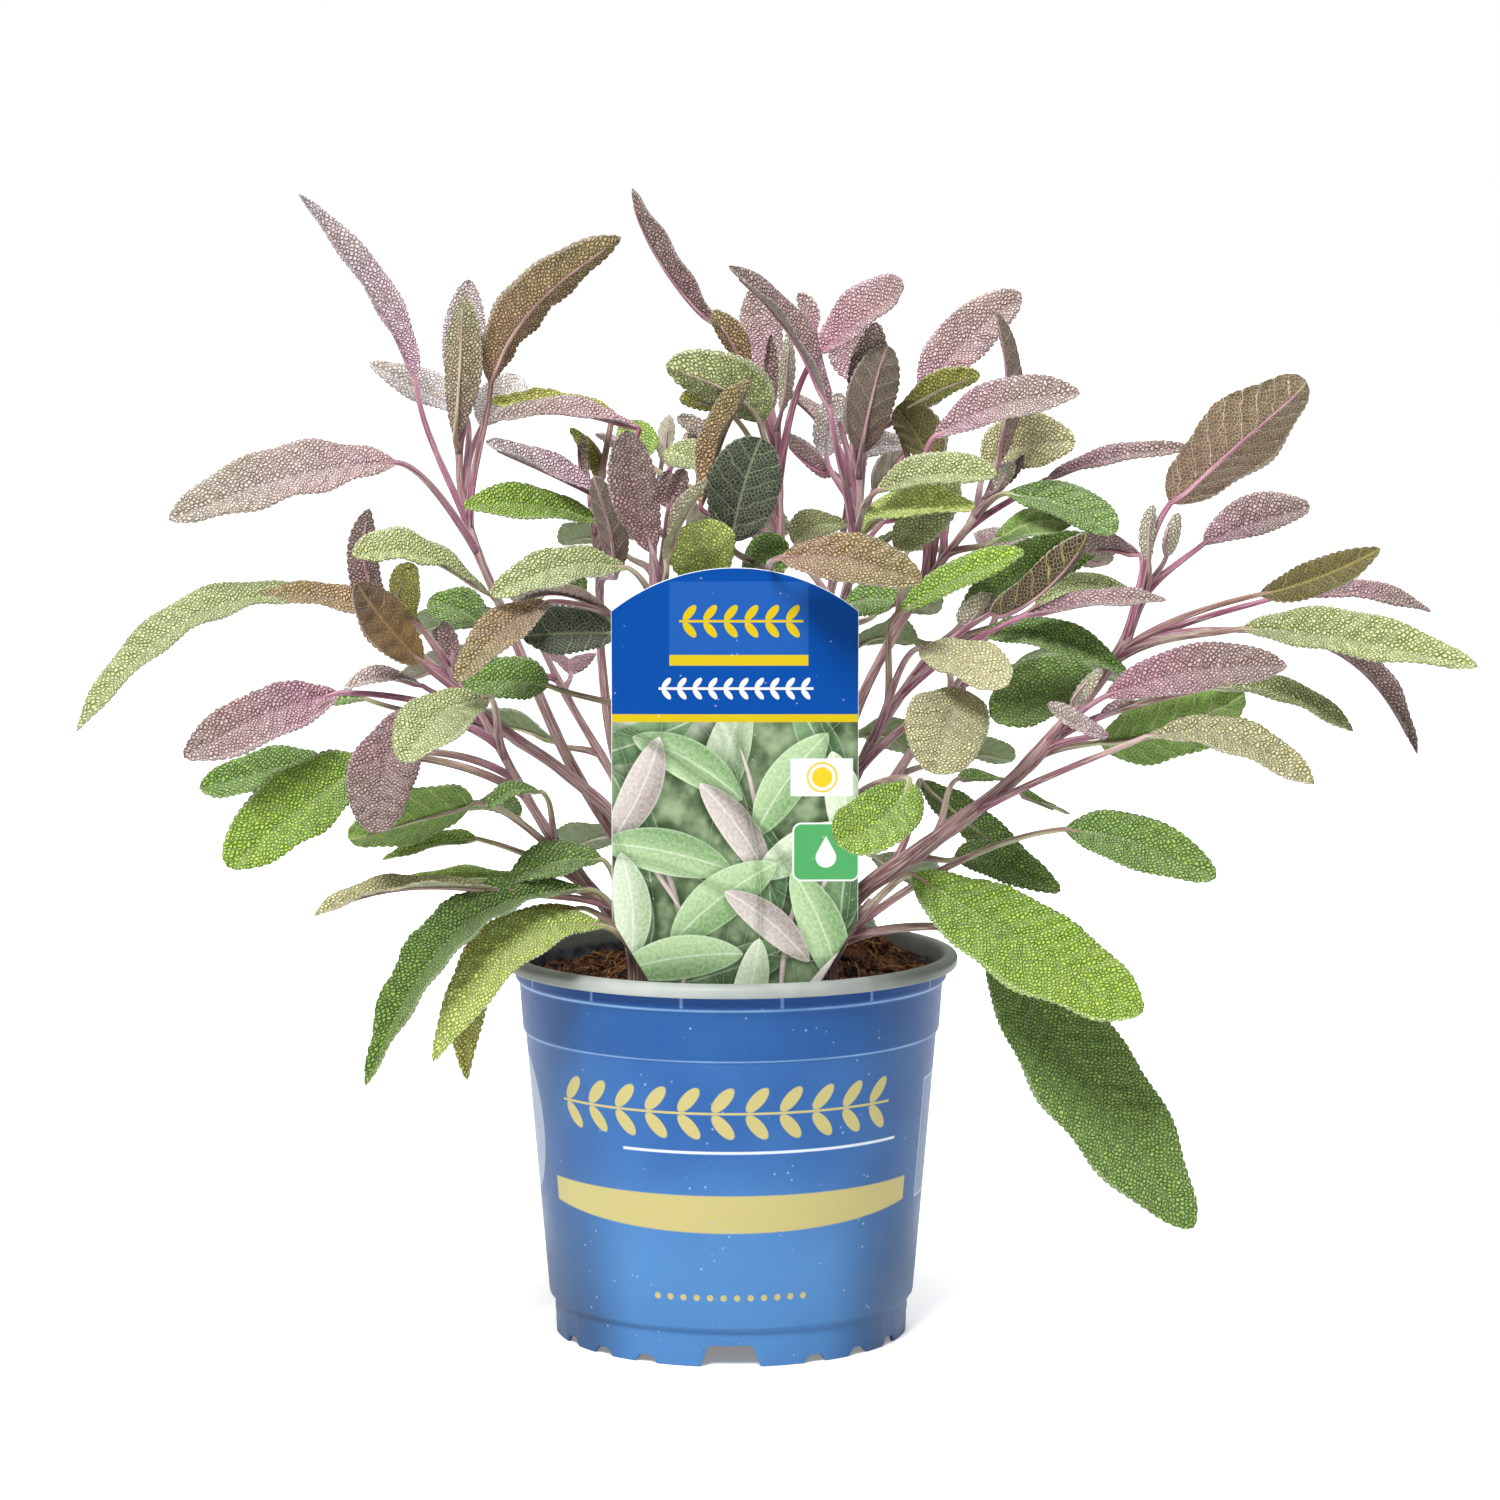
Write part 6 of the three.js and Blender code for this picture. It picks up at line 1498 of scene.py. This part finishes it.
def blade(corners, width, face, fold, number):
    """Upper side, underside and their fields, over a grid of rows along the blade and columns across."""
    whole = length(bezier(corners, np.linspace(0, 1, 20))[0])
    rows = 3 * max(6, round(whole / ROW_STEP / 3)) + 1
    columns = 2 * max(4, round(width / COLUMN_STEP / 2)) + 1
    s = np.linspace(0, 1, rows)
    place, way = bezier(corners, s)
    normal = facing(place, way, face)
    side = np.cross(way, normal)
    tooth = np.where(np.arange(rows) % 3 == 0, -1.0, 0.5) * smooth(s, 0.02, 0.15)
    lean = 1 + LEAN * draw.normal()
    wavelength = draw.uniform(13, 24)
    turn = draw.uniform(0, 6)
    twist = np.radians(draw.uniform(-TWIST, TWIST)) * (s - 0.4)[:, None]
    cosine, sine = np.cos(twist), np.sin(twist)
    normal, side = normal * cosine + side * sine, side * cosine - normal * sine
    half = np.maximum(outline(s, whole / width) * width / 2, 0.5 * (1 - s) + 0.05)[:, None]
    c = np.linspace(1, -1, columns)[None, :]
    edge = np.abs(c) ** 8
    x = (s * whole)[:, None] + 0 * c
    uneven = 1 + UNEVEN * np.sin(2 * np.pi * x / (1.3 * wavelength) + turn + 2.4 * np.sign(c))
    y = c * half * np.where(c > 0, lean, 2 - lean) * uneven + TEETH * np.sign(c) * edge * tooth[:, None]
    tilt = np.radians(fold * VISIBLE_FOLD)
    rise = -half * np.sin(tilt) * (1 - np.abs(c) ** 1.3)
    wave = np.sin(2 * np.pi * x / wavelength + turn + 1.7 * np.sign(c))
    wave = WAVE * width * np.abs(c) ** 2 * wave
    curl = -CURL * half * np.abs(c) ** 5
    height = rise + (wave + curl) * smooth(s, 0, 0.2)[:, None] * smooth(1 - s, 0, 0.1)[:, None]
    skin = bulge(x, y, half, number)
    groove = -GROOVE * np.exp(-((y / 0.55) ** 2)) * smooth(1 - s, 0, 0.3)[:, None]
    thick = SKIN * (0.6 + 0.4 * smooth(half, 0.3, 2.0))
    level = place[:, None] + side[:, None] * (y * np.cos(tilt))[..., None]
    upper = level + normal[:, None] * (height + skin + groove + thick / 2)[..., None]
    under = level + normal[:, None] * (height + 0.9 * skin - thick / 2)[..., None]
    return upper, under, x, y, half - np.abs(y), place, normal


def out_and_back(values):
    """Values over the blade's grid, first across the upper side and then back across the underside."""
    return np.concatenate([values, values[:, ::-1]], 1)


def leaf(row, stem_points, number, face_is_top):
    """One leaf: its blade, and the stalk that runs on below it as its rib. The plan's tones say what the
    photo shows, so the side that the eye sees gets them. Where face_is_top is set, for the shoots at the
    back, the top is the side that the plan's face looks out of."""
    up, foot, middle, tip, width, face, tone, fold = row
    a, m, b = (seen(p) for p in (foot, middle, tip))
    corners = [a, 2 * m - (a + b) / 2, b]
    face = np.array(face, float)
    upper, under, x, y, margin, place, normal = blade(corners, width, face, fold, number)
    toward_eye = face_is_top or face @ np.array([0, -1, 0.15]) > 0
    shows_under = tone in UNDERSIDES
    foot_paint, tip_paint, under_paint, rib_paint = PAINTS[tone]
    s = np.linspace(0, 1, len(x))[:, None]
    drift = 0.35 * (soft_noise(x / 6 + 13 * number, y / 6, 9) - 0.5)
    blend = smooth(s + drift, 0.0, 0.95)[..., None]
    top_paint = foot_paint * (1 - blend) + tip_paint * blend
    low_paint = top_paint if shows_under else under_paint + 0 * blend
    shine = 1 + 0.05 * draw.normal()
    upper_is_top = toward_eye != shows_under
    sides = []
    for is_top in (upper_is_top, not upper_is_top):
        colour = (top_paint if is_top else low_paint) * shine
        is_netted = tone in NETTED and is_top != shows_under
        colour[..., 3] = 2.0 if is_netted else 0.0 if is_top else 1.0
        sides.append(colour)
    points = np.concatenate([upper, under[:, ::-1]], 1)
    paint = np.concatenate([sides[0], sides[1][:, ::-1]], 1)
    fields = {
        "paint": paint,
        "rib": np.broadcast_to(under_paint if tone in NETTED else rib_paint, paint.shape),
        "blade": np.stack([out_and_back(x), out_and_back(y)], -1),
        "leaf": np.full(paint.shape[:2] + (1,), float(number)),
        "margin": out_and_back(margin)[..., None],
    }
    rib = stalk(row, stem_points, corners, place, normal, rib_paint, number)
    return [ring_shell(points * MM, 0, **fields), rib]


# %% [markdown]
# ## Stalks and stems
#
# A stalk is a tube along its curve. It carries on along the blade as the midrib, getting thinner towards
# the tip, which is how the rib stands out on the underside of the real leaf. A stem is a slightly square
# tube, thicker where leaves join it, and goes straight down into the soil. Blender's own curve objects
# could be given a thickness too, but they can't carry a colour that changes along them.

# %% Tubes
STALK_REACH = 0.35  # how far a stalk keeps to its first and last direction, as a share of its length
STALK_SIDES = 7
STALK_RADIUS = (1.2, 0.75)  # mm, at the stem and at the blade
STALK_FOOT = np.array(shade("#83405f"))  # most stalks are purple where they leave the stem
ROOT_END, ROOT_POINTS = 72.0, 8  # mm, the height that stems reach down to in the soil
STEM_SIDES, STEM_STEP = 10, 1.5  # points round it, and mm from ring to ring


def tube(place, way, radius, sides, start, material, paint, number, squareness=0.0):
    """A tube: at each place, points round it in the plane square to its direction, at a radius that may
    grow towards four sides. The start direction is squared to each direction in turn."""
    turn = np.linspace(0, 2 * np.pi, sides, endpoint=False)
    first = square_to(start, way)
    second = np.cross(way, first)
    reach = radius[:, None] * (1 + squareness * np.cos(4 * turn))[None, :]
    circle = first[:, None] * np.cos(turn)[None, :, None] + second[:, None] * np.sin(turn)[None, :, None]
    points = place[:, None] + circle * reach[..., None]
    along = np.concatenate([[0], np.cumsum(np.linalg.norm(np.diff(place, axis=0), axis=1))])
    where = np.stack(np.broadcast_arrays(along[:, None], (turn * radius.mean())[None, :]), -1)
    fields = {
        "paint": np.broadcast_to(paint[:, None], points.shape[:2] + (4,)),
        "rib": np.broadcast_to(paint[:, None], points.shape[:2] + (4,)),
        "blade": where,
        "leaf": np.full(points.shape[:2] + (1,), float(number)),
        "margin": np.ones(points.shape[:2] + (1,)),
    }
    return ring_shell(points[:, ::-1] * MM, material, **fields)


def height_share(points, height):
    """The share of the way along a rising stem at which it reaches a height."""
    share = np.linspace(0, 1, 400)
    return float(np.interp(height, through(points, share)[0][:, 2], share))


def stalk(row, stem_points, corners, rib_place, rib_normal, colour, number):
    """The stalk from the stem to the blade, and the rib along the blade's underside."""
    start, lean = (value[0] for value in through(stem_points, [height_share(stem_points, row[0])]))
    end, foot_way = corners[0], unit(corners[1] - corners[0])
    reach = np.linalg.norm(end - start) * STALK_REACH
    leave = unit(unit(end - start) + lean)
    turned = max(0.3, float(foot_way @ unit(end - start))) ** 2
    handles = [start, start + leave * reach, end - foot_way * reach * turned, end]
    steps = max(4, round(np.linalg.norm(end - start) / 1.6))
    lower, _ = bezier(handles, np.linspace(0, 1, steps, endpoint=False))
    every = slice(0, -6, 3)  # every third row of the blade, and none at the tip
    fold = np.radians(row[7] * VISIBLE_FOLD)
    s = np.linspace(0, 1, len(rib_place))[every]
    slender = length(rib_place) / row[4]
    thin = np.linspace(*STALK_RADIUS, steps)
    taper = STALK_RADIUS[1] * (1 - 0.75 * s**0.7)
    girth = 0.8 + 0.012 * row[4]
    sink = outline(s, slender) * row[4] / 2 * np.sin(fold) + (0.1 + taper * girth) * smooth(s, 0, 0.12)
    rib = rib_place[every] - rib_normal[every] * sink[:, None]
    place = np.concatenate([lower, rib])
    way = unit(np.gradient(place, axis=0))
    radius = np.concatenate([thin, taper]) * girth
    reached = np.concatenate([np.linspace(0, 1, steps), np.ones(len(rib))])[:, None]
    paint = STALK_FOOT * (1 - reached) + (0.3 * STALK_FOOT + 0.7 * colour) * reached
    return tube(place, way, radius, STALK_SIDES, rib_normal[0], 1, paint, number)


def stem(thick, points, nodes, number):
    """A stem with its root: radius from foot to top, with a small swelling at each leaf's height."""
    steps = round(length(points) / STEM_STEP)
    share = np.linspace(0, 1, steps + 1)
    place, way = through(points, share)
    root = np.array([place[0, 0], place[0, 1], ROOT_END])
    up = np.linspace(0, 1, ROOT_POINTS, endpoint=False)[:, None]
    place = np.concatenate([root + (place[0] - root) * up, place])
    way = np.concatenate([np.tile([0.0, 0.0, 1.0], (ROOT_POINTS, 1)), way])
    along = np.concatenate([np.zeros(ROOT_POINTS), share])
    swell = sum(np.exp(-(((place[:, 2] - node) / 2.2) ** 2)) for node in nodes)
    knobs = 0.08 * (soft_noise(place[:, 2] / 3, number + 0 * place[:, 2], 5) - 0.5)
    radius = (0.84 - 0.22 * along) * (thick[0] + (thick[1] - thick[0]) * along)
    radius = radius * (1 + 0.14 * np.minimum(swell, 1.2) + knobs)
    bark, young = np.array(shade("#80605c")), np.array(shade("#ab8a8c"))
    blend = smooth(along, 0.0, 0.8)[:, None]
    paint = bark * (1 - blend) + young * blend
    return tube(place, way, radius, STEM_SIDES, np.array([1.0, 0.2, 0.0]), 1, paint, number, 0.06)


print("tubes: stalks, ribs and stems")

# %% [markdown]
# ## The felted skin
#
# Seen close, the upper side is a cobble of small round pebbles, about a millimetre across, in rows that
# slant as the side veins do. The creases between them are darkened as painted shade, and the pebbles' tops
# are a pale felt with a painted highlight. The underside is the same pattern the other way round: a pale
# raised net, with its hollows darkened as painted shade. Voronoi cells give both. A photograph of a leaf
# could be laid on instead, but it would repeat on every leaf and blur when seen close.
# Where the skin turns away from the eye, its fine hairs catch the light, and the shader's sheen does that.
# Stems and stalks have dark streaks along them, under a thinner felt.

# %% The leaf group
PEBBLE = (0.84, 1.0)  # mm, the size of a pebble across its row and along it
SLANT = np.arctan(VEIN_SLANT)  # the rows run as the side veins do


def felted_group():
    """Colour, roughness and height of the skin, from its paint and the place on the blade in mm. Underside
    is 0 on the upper side, 1 on the underside, and 2 on an underside with a clear net of veins."""
    inputs = [
        ("Paint", "Color", (0.4, 0.5, 0.3, 1)),
        ("Rib", "Color", (0.6, 0.5, 0.5, 1)),
        ("Underside", "Float", 0.0),
        ("Along", "Float", 0.0),
        ("Across", "Float", 0.0),
        ("Leaf", "Float", 0.0),
        ("Margin", "Float", 1.0),
    ]
    outputs = [("Colour", "Color"), ("Roughness", "Float"), ("Height", "Float")]
    tree, use, end = new_group("felted_skin", inputs, outputs)
    across, paint = use["Across"], use["Paint"]
    under, netted = use["Underside"].ramp(0.0, 1.0), use["Underside"].ramp(1.0, 2.0)
    size = across.size()
    where = joined(tree, use["Along"] + use["Leaf"] * 13.7, across + use["Leaf"] * 5.3)
    bend = noise(tree, where, 0.3, 2.0) - 0.5
    row = use["Along"] - size * VEIN_SLANT + bend * 3.0
    shift = use["Leaf"] * 13.7 + across.math("SIGN") * 4.6
    down = use["Along"] * np.cos(SLANT) - size * np.sin(SLANT) + bend * 2.0
    out = use["Along"] * np.sin(SLANT) + size * np.cos(SLANT)
    in_rows = joined(tree, down * (1 / PEBBLE[0]) + shift, out * (1 / PEBBLE[1]))
    to_edge = cells(tree, in_rows, 1.0, "DISTANCE_TO_EDGE", flat=True, scatter=0.75)
    crease, climb = to_edge.ramp(0.0, 0.26, 1.0, 0.0), to_edge.ramp(0.0, 0.46)
    dome = climb * (climb * -1.0 + 2.0)
    net = to_edge.ramp(0.04, 0.13, 1.0, 0.0)
    fuzz = noise(tree, where, 3.0, 3.0, 0.7)
    puff = noise(tree, where, 0.4, 2.0)
    patch = noise(tree, where, 0.12, 2.0)
    phase = row * (1 / VEIN_STEP) + across.math("SIGN") * 0.35
    side_vein = (phase.math("FRACT") - 0.5).size().ramp(0.44, 0.49)
    midrib = size.ramp(0.15, 0.5, 1.0, 0.0)
    warm = tinted(tree, paint, (1.07, 1.0, 0.8, 1))
    paint = mixed(tree, patch.ramp(0.35, 0.65) * 0.35, paint, warm)
    # deep is the paint squared and darkened: the colour of the painted shade in the creases and hollows.
    deep = tinted(tree, tinted(tree, paint, paint), (0.5, 0.52, 0.52, 1))
    # lit is the paint made lighter. Mixed with a whitish felt colour it gives pale, which is partly the
    # felt and partly painted highlight.
    lit = tinted(tree, paint, (1.28, 1.26, 1.24, 1))
    pale = mixed(tree, 0.22, lit, (0.9, 0.88, 0.84, 1))
    # The pebbles' tops get the pale felt with a painted highlight.
    top = mixed(tree, dome * (fuzz.ramp(0.3, 0.75) * 0.55 + 0.1), paint, pale)
    # Painted shade in the creases between the pebbles.
    top = mixed(tree, crease * puff.ramp(0.3, 0.6, 0.5, 0.95), top, deep)
    top = mixed(tree, midrib * use["Along"].ramp(4.0, 30.0, 0.6, 0.1), top, use["Rib"])
    # Painted shade: the underside is darkened between its veins.
    low = mixed(tree, puff.ramp(0.3, 0.7, 0.2, 0.5) + netted * 0.35, paint, deep)
    low = mixed(tree, fuzz.ramp(0.4, 0.7) * 0.3, low, pale)
    vein = (net * 0.7).math("MAXIMUM", side_vein) * (netted * 0.55 + 0.4)
    vein_colour = mixed(tree, netted, mixed(tree, 0.6, paint, (0.8, 0.74, 0.6, 1)), use["Rib"])
    low = mixed(tree, vein, low, vein_colour)
    low = mixed(tree, midrib * 0.85, low, use["Rib"])
    # The pale margin is the edge's hairs, with a painted highlight over them.
    rim = use["Margin"].ramp(0.0, 0.25, 1.0, 0.0)
    colour = mixed(tree, under, top, low)
    colour = mixed(tree, rim * 0.5, colour, mixed(tree, 0.4, lit, (0.9, 0.89, 0.86, 1)))
    top_height = dome + fuzz * 0.18
    low_height = net * 0.4 + fuzz * 0.25 + side_vein * 0.5
    height = top_height + (low_height - top_height) * under
    plug(tree, colour, end.inputs["Colour"])
    plug(tree, fuzz.ramp(0.3, 0.7, 0.72, 0.9), end.inputs["Roughness"])
    plug(tree, height, end.inputs["Height"])
    return tree


FELT = felted_group()


def leaf_material():
    """The blade: its skin follows the coordinates on the blade."""
    constants = {"Sheen_Weight": 0.2, "Sheen_Roughness": 0.5, "Specular_IOR_Level": 0.3}
    material, tree, shader = new_material("sage_leaf", **constants)
    along, across = flat_place(tree, "blade")
    skin = use_group(
        tree,
        FELT,
        Paint=attribute(tree, "paint", "Color"),
        Rib=attribute(tree, "rib", "Color"),
        Underside=attribute(tree, "paint", "Alpha"),
        Along=along,
        Across=across,
        Leaf=attribute(tree, "leaf"),
        Margin=attribute(tree, "margin"),
    )
    plug(tree, skin["Colour"], shader.inputs["Base Color"])
    plug(tree, skin["Roughness"], shader.inputs["Roughness"])
    raise_surface(tree, shader, skin["Height"], 0.0008)
    return material


def stem_material():
    """Stems and stalks: fine streaks along them under a thin felt."""
    material, tree, shader = new_material("sage_stem", Sheen_Weight=0.35, Sheen_Roughness=0.5)
    along, across = flat_place(tree, "blade")
    streaks = noise(tree, joined(tree, along * 0.05, across * 1.1), 1.0, 2.0)
    fuzz = noise(tree, joined(tree, along * 0.14, across * 2.4, 4.0), 1.0, 3.0)
    paint = attribute(tree, "paint", "Color")
    dark = tinted(tree, paint, (0.5, 0.22, 0.33, 1))
    colour = mixed(tree, streaks.ramp(0.42, 0.56) * 0.85, paint, dark)
    colour = mixed(tree, fuzz.ramp(0.45, 0.7) * 0.55, colour, (0.66, 0.6, 0.5, 1))
    plug(tree, colour, shader.inputs["Base Color"])
    plug(tree, fuzz.ramp(0.3, 0.7, 0.7, 0.9), shader.inputs["Roughness"])
    raise_surface(tree, shader, streaks * 0.5 + fuzz * 0.5, 0.0003)
    return material


LEAF_MATERIAL, STEM_MATERIAL = leaf_material(), stem_material()
print("materials:", LEAF_MATERIAL.name, STEM_MATERIAL.name)

# %% [markdown]
# ## Growing the shoots
#
# Each leafy stem is one piece: its stem, and each leaf with its stalk. It takes the place of the plain
# solid with the same name.

# %% Shoots
BACK = 25  # mm: shoots whose tops are further back than this are hardly seen in the photo


def grow(name, plan, first_number):
    """One shoot. Its leaves are numbered on from the last one's, which sets their noise apart."""
    points = seen(plan["stem"])
    back = points[-1, 1] > BACK
    shells = [stem(plan["thick"], points, [row[0] for row in plan["leaves"]], first_number)]
    for number, row in enumerate(plan["leaves"], first_number):
        shells += leaf(row, points, number, back)
    return make_piece(name + "_leaves", shells, [LEAF_MATERIAL, STEM_MATERIAL], name)


leaf_count = 0
triangles = 0
for name, plan in SHOOTS.items():
    piece = grow(name, plan, leaf_count)
    leaf_count += len(plan["leaves"])
    triangles += sum(len(face.vertices) - 2 for face in piece.data.polygons)
print("plant:", leaf_count, "leaves,", triangles, "triangles")

# %% [markdown]
# ## The studio floor
#
# A large pale plane catches the pot's soft shadow. To the camera it also glows, more and more with the
# distance from the pot, so that it fades into the white surround and no horizon shows. The last lines write
# down the boxes of the plain solids and of the finished pieces.

# %% Floor and boxes
FLOOR_HALF = 30.0  # m
GLOW_REACH, GLOW = (0.25, 1.3), (0.25, 1.2)  # m from the pot, and the strength there


def floor():
    mesh = bpy.data.meshes.new("studio_floor")
    corners = [(x * FLOOR_HALF, y * FLOOR_HALF, 0) for x, y in ((-1, -1), (1, -1), (1, 1), (-1, 1))]
    mesh.from_pydata(corners, [], [(0, 1, 2, 3)])
    piece = bpy.data.objects.new("studio_floor", mesh)
    bpy.context.scene.collection.objects.link(piece)
    material, tree, shader = new_material("studio_floor", Roughness=0.7)
    shader.inputs["Base Color"].default_value = (0.9, 0.9, 0.9, 1)
    glow = coordinates(tree).reach().ramp(*GLOW_REACH, *GLOW)
    seen_directly = Wire(tree, tree.nodes.new("ShaderNodeLightPath").outputs["Is Camera Ray"])
    plug(tree, glow * seen_directly, shader.inputs["Emission Color"])
    shader.inputs["Emission Strength"].default_value = 1.0
    mesh.materials.append(material)
    piece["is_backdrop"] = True


floor()

boxes = [[list(corner) for corner in box] for box in (cad_box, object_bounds())]
print("boxes:", boxes)
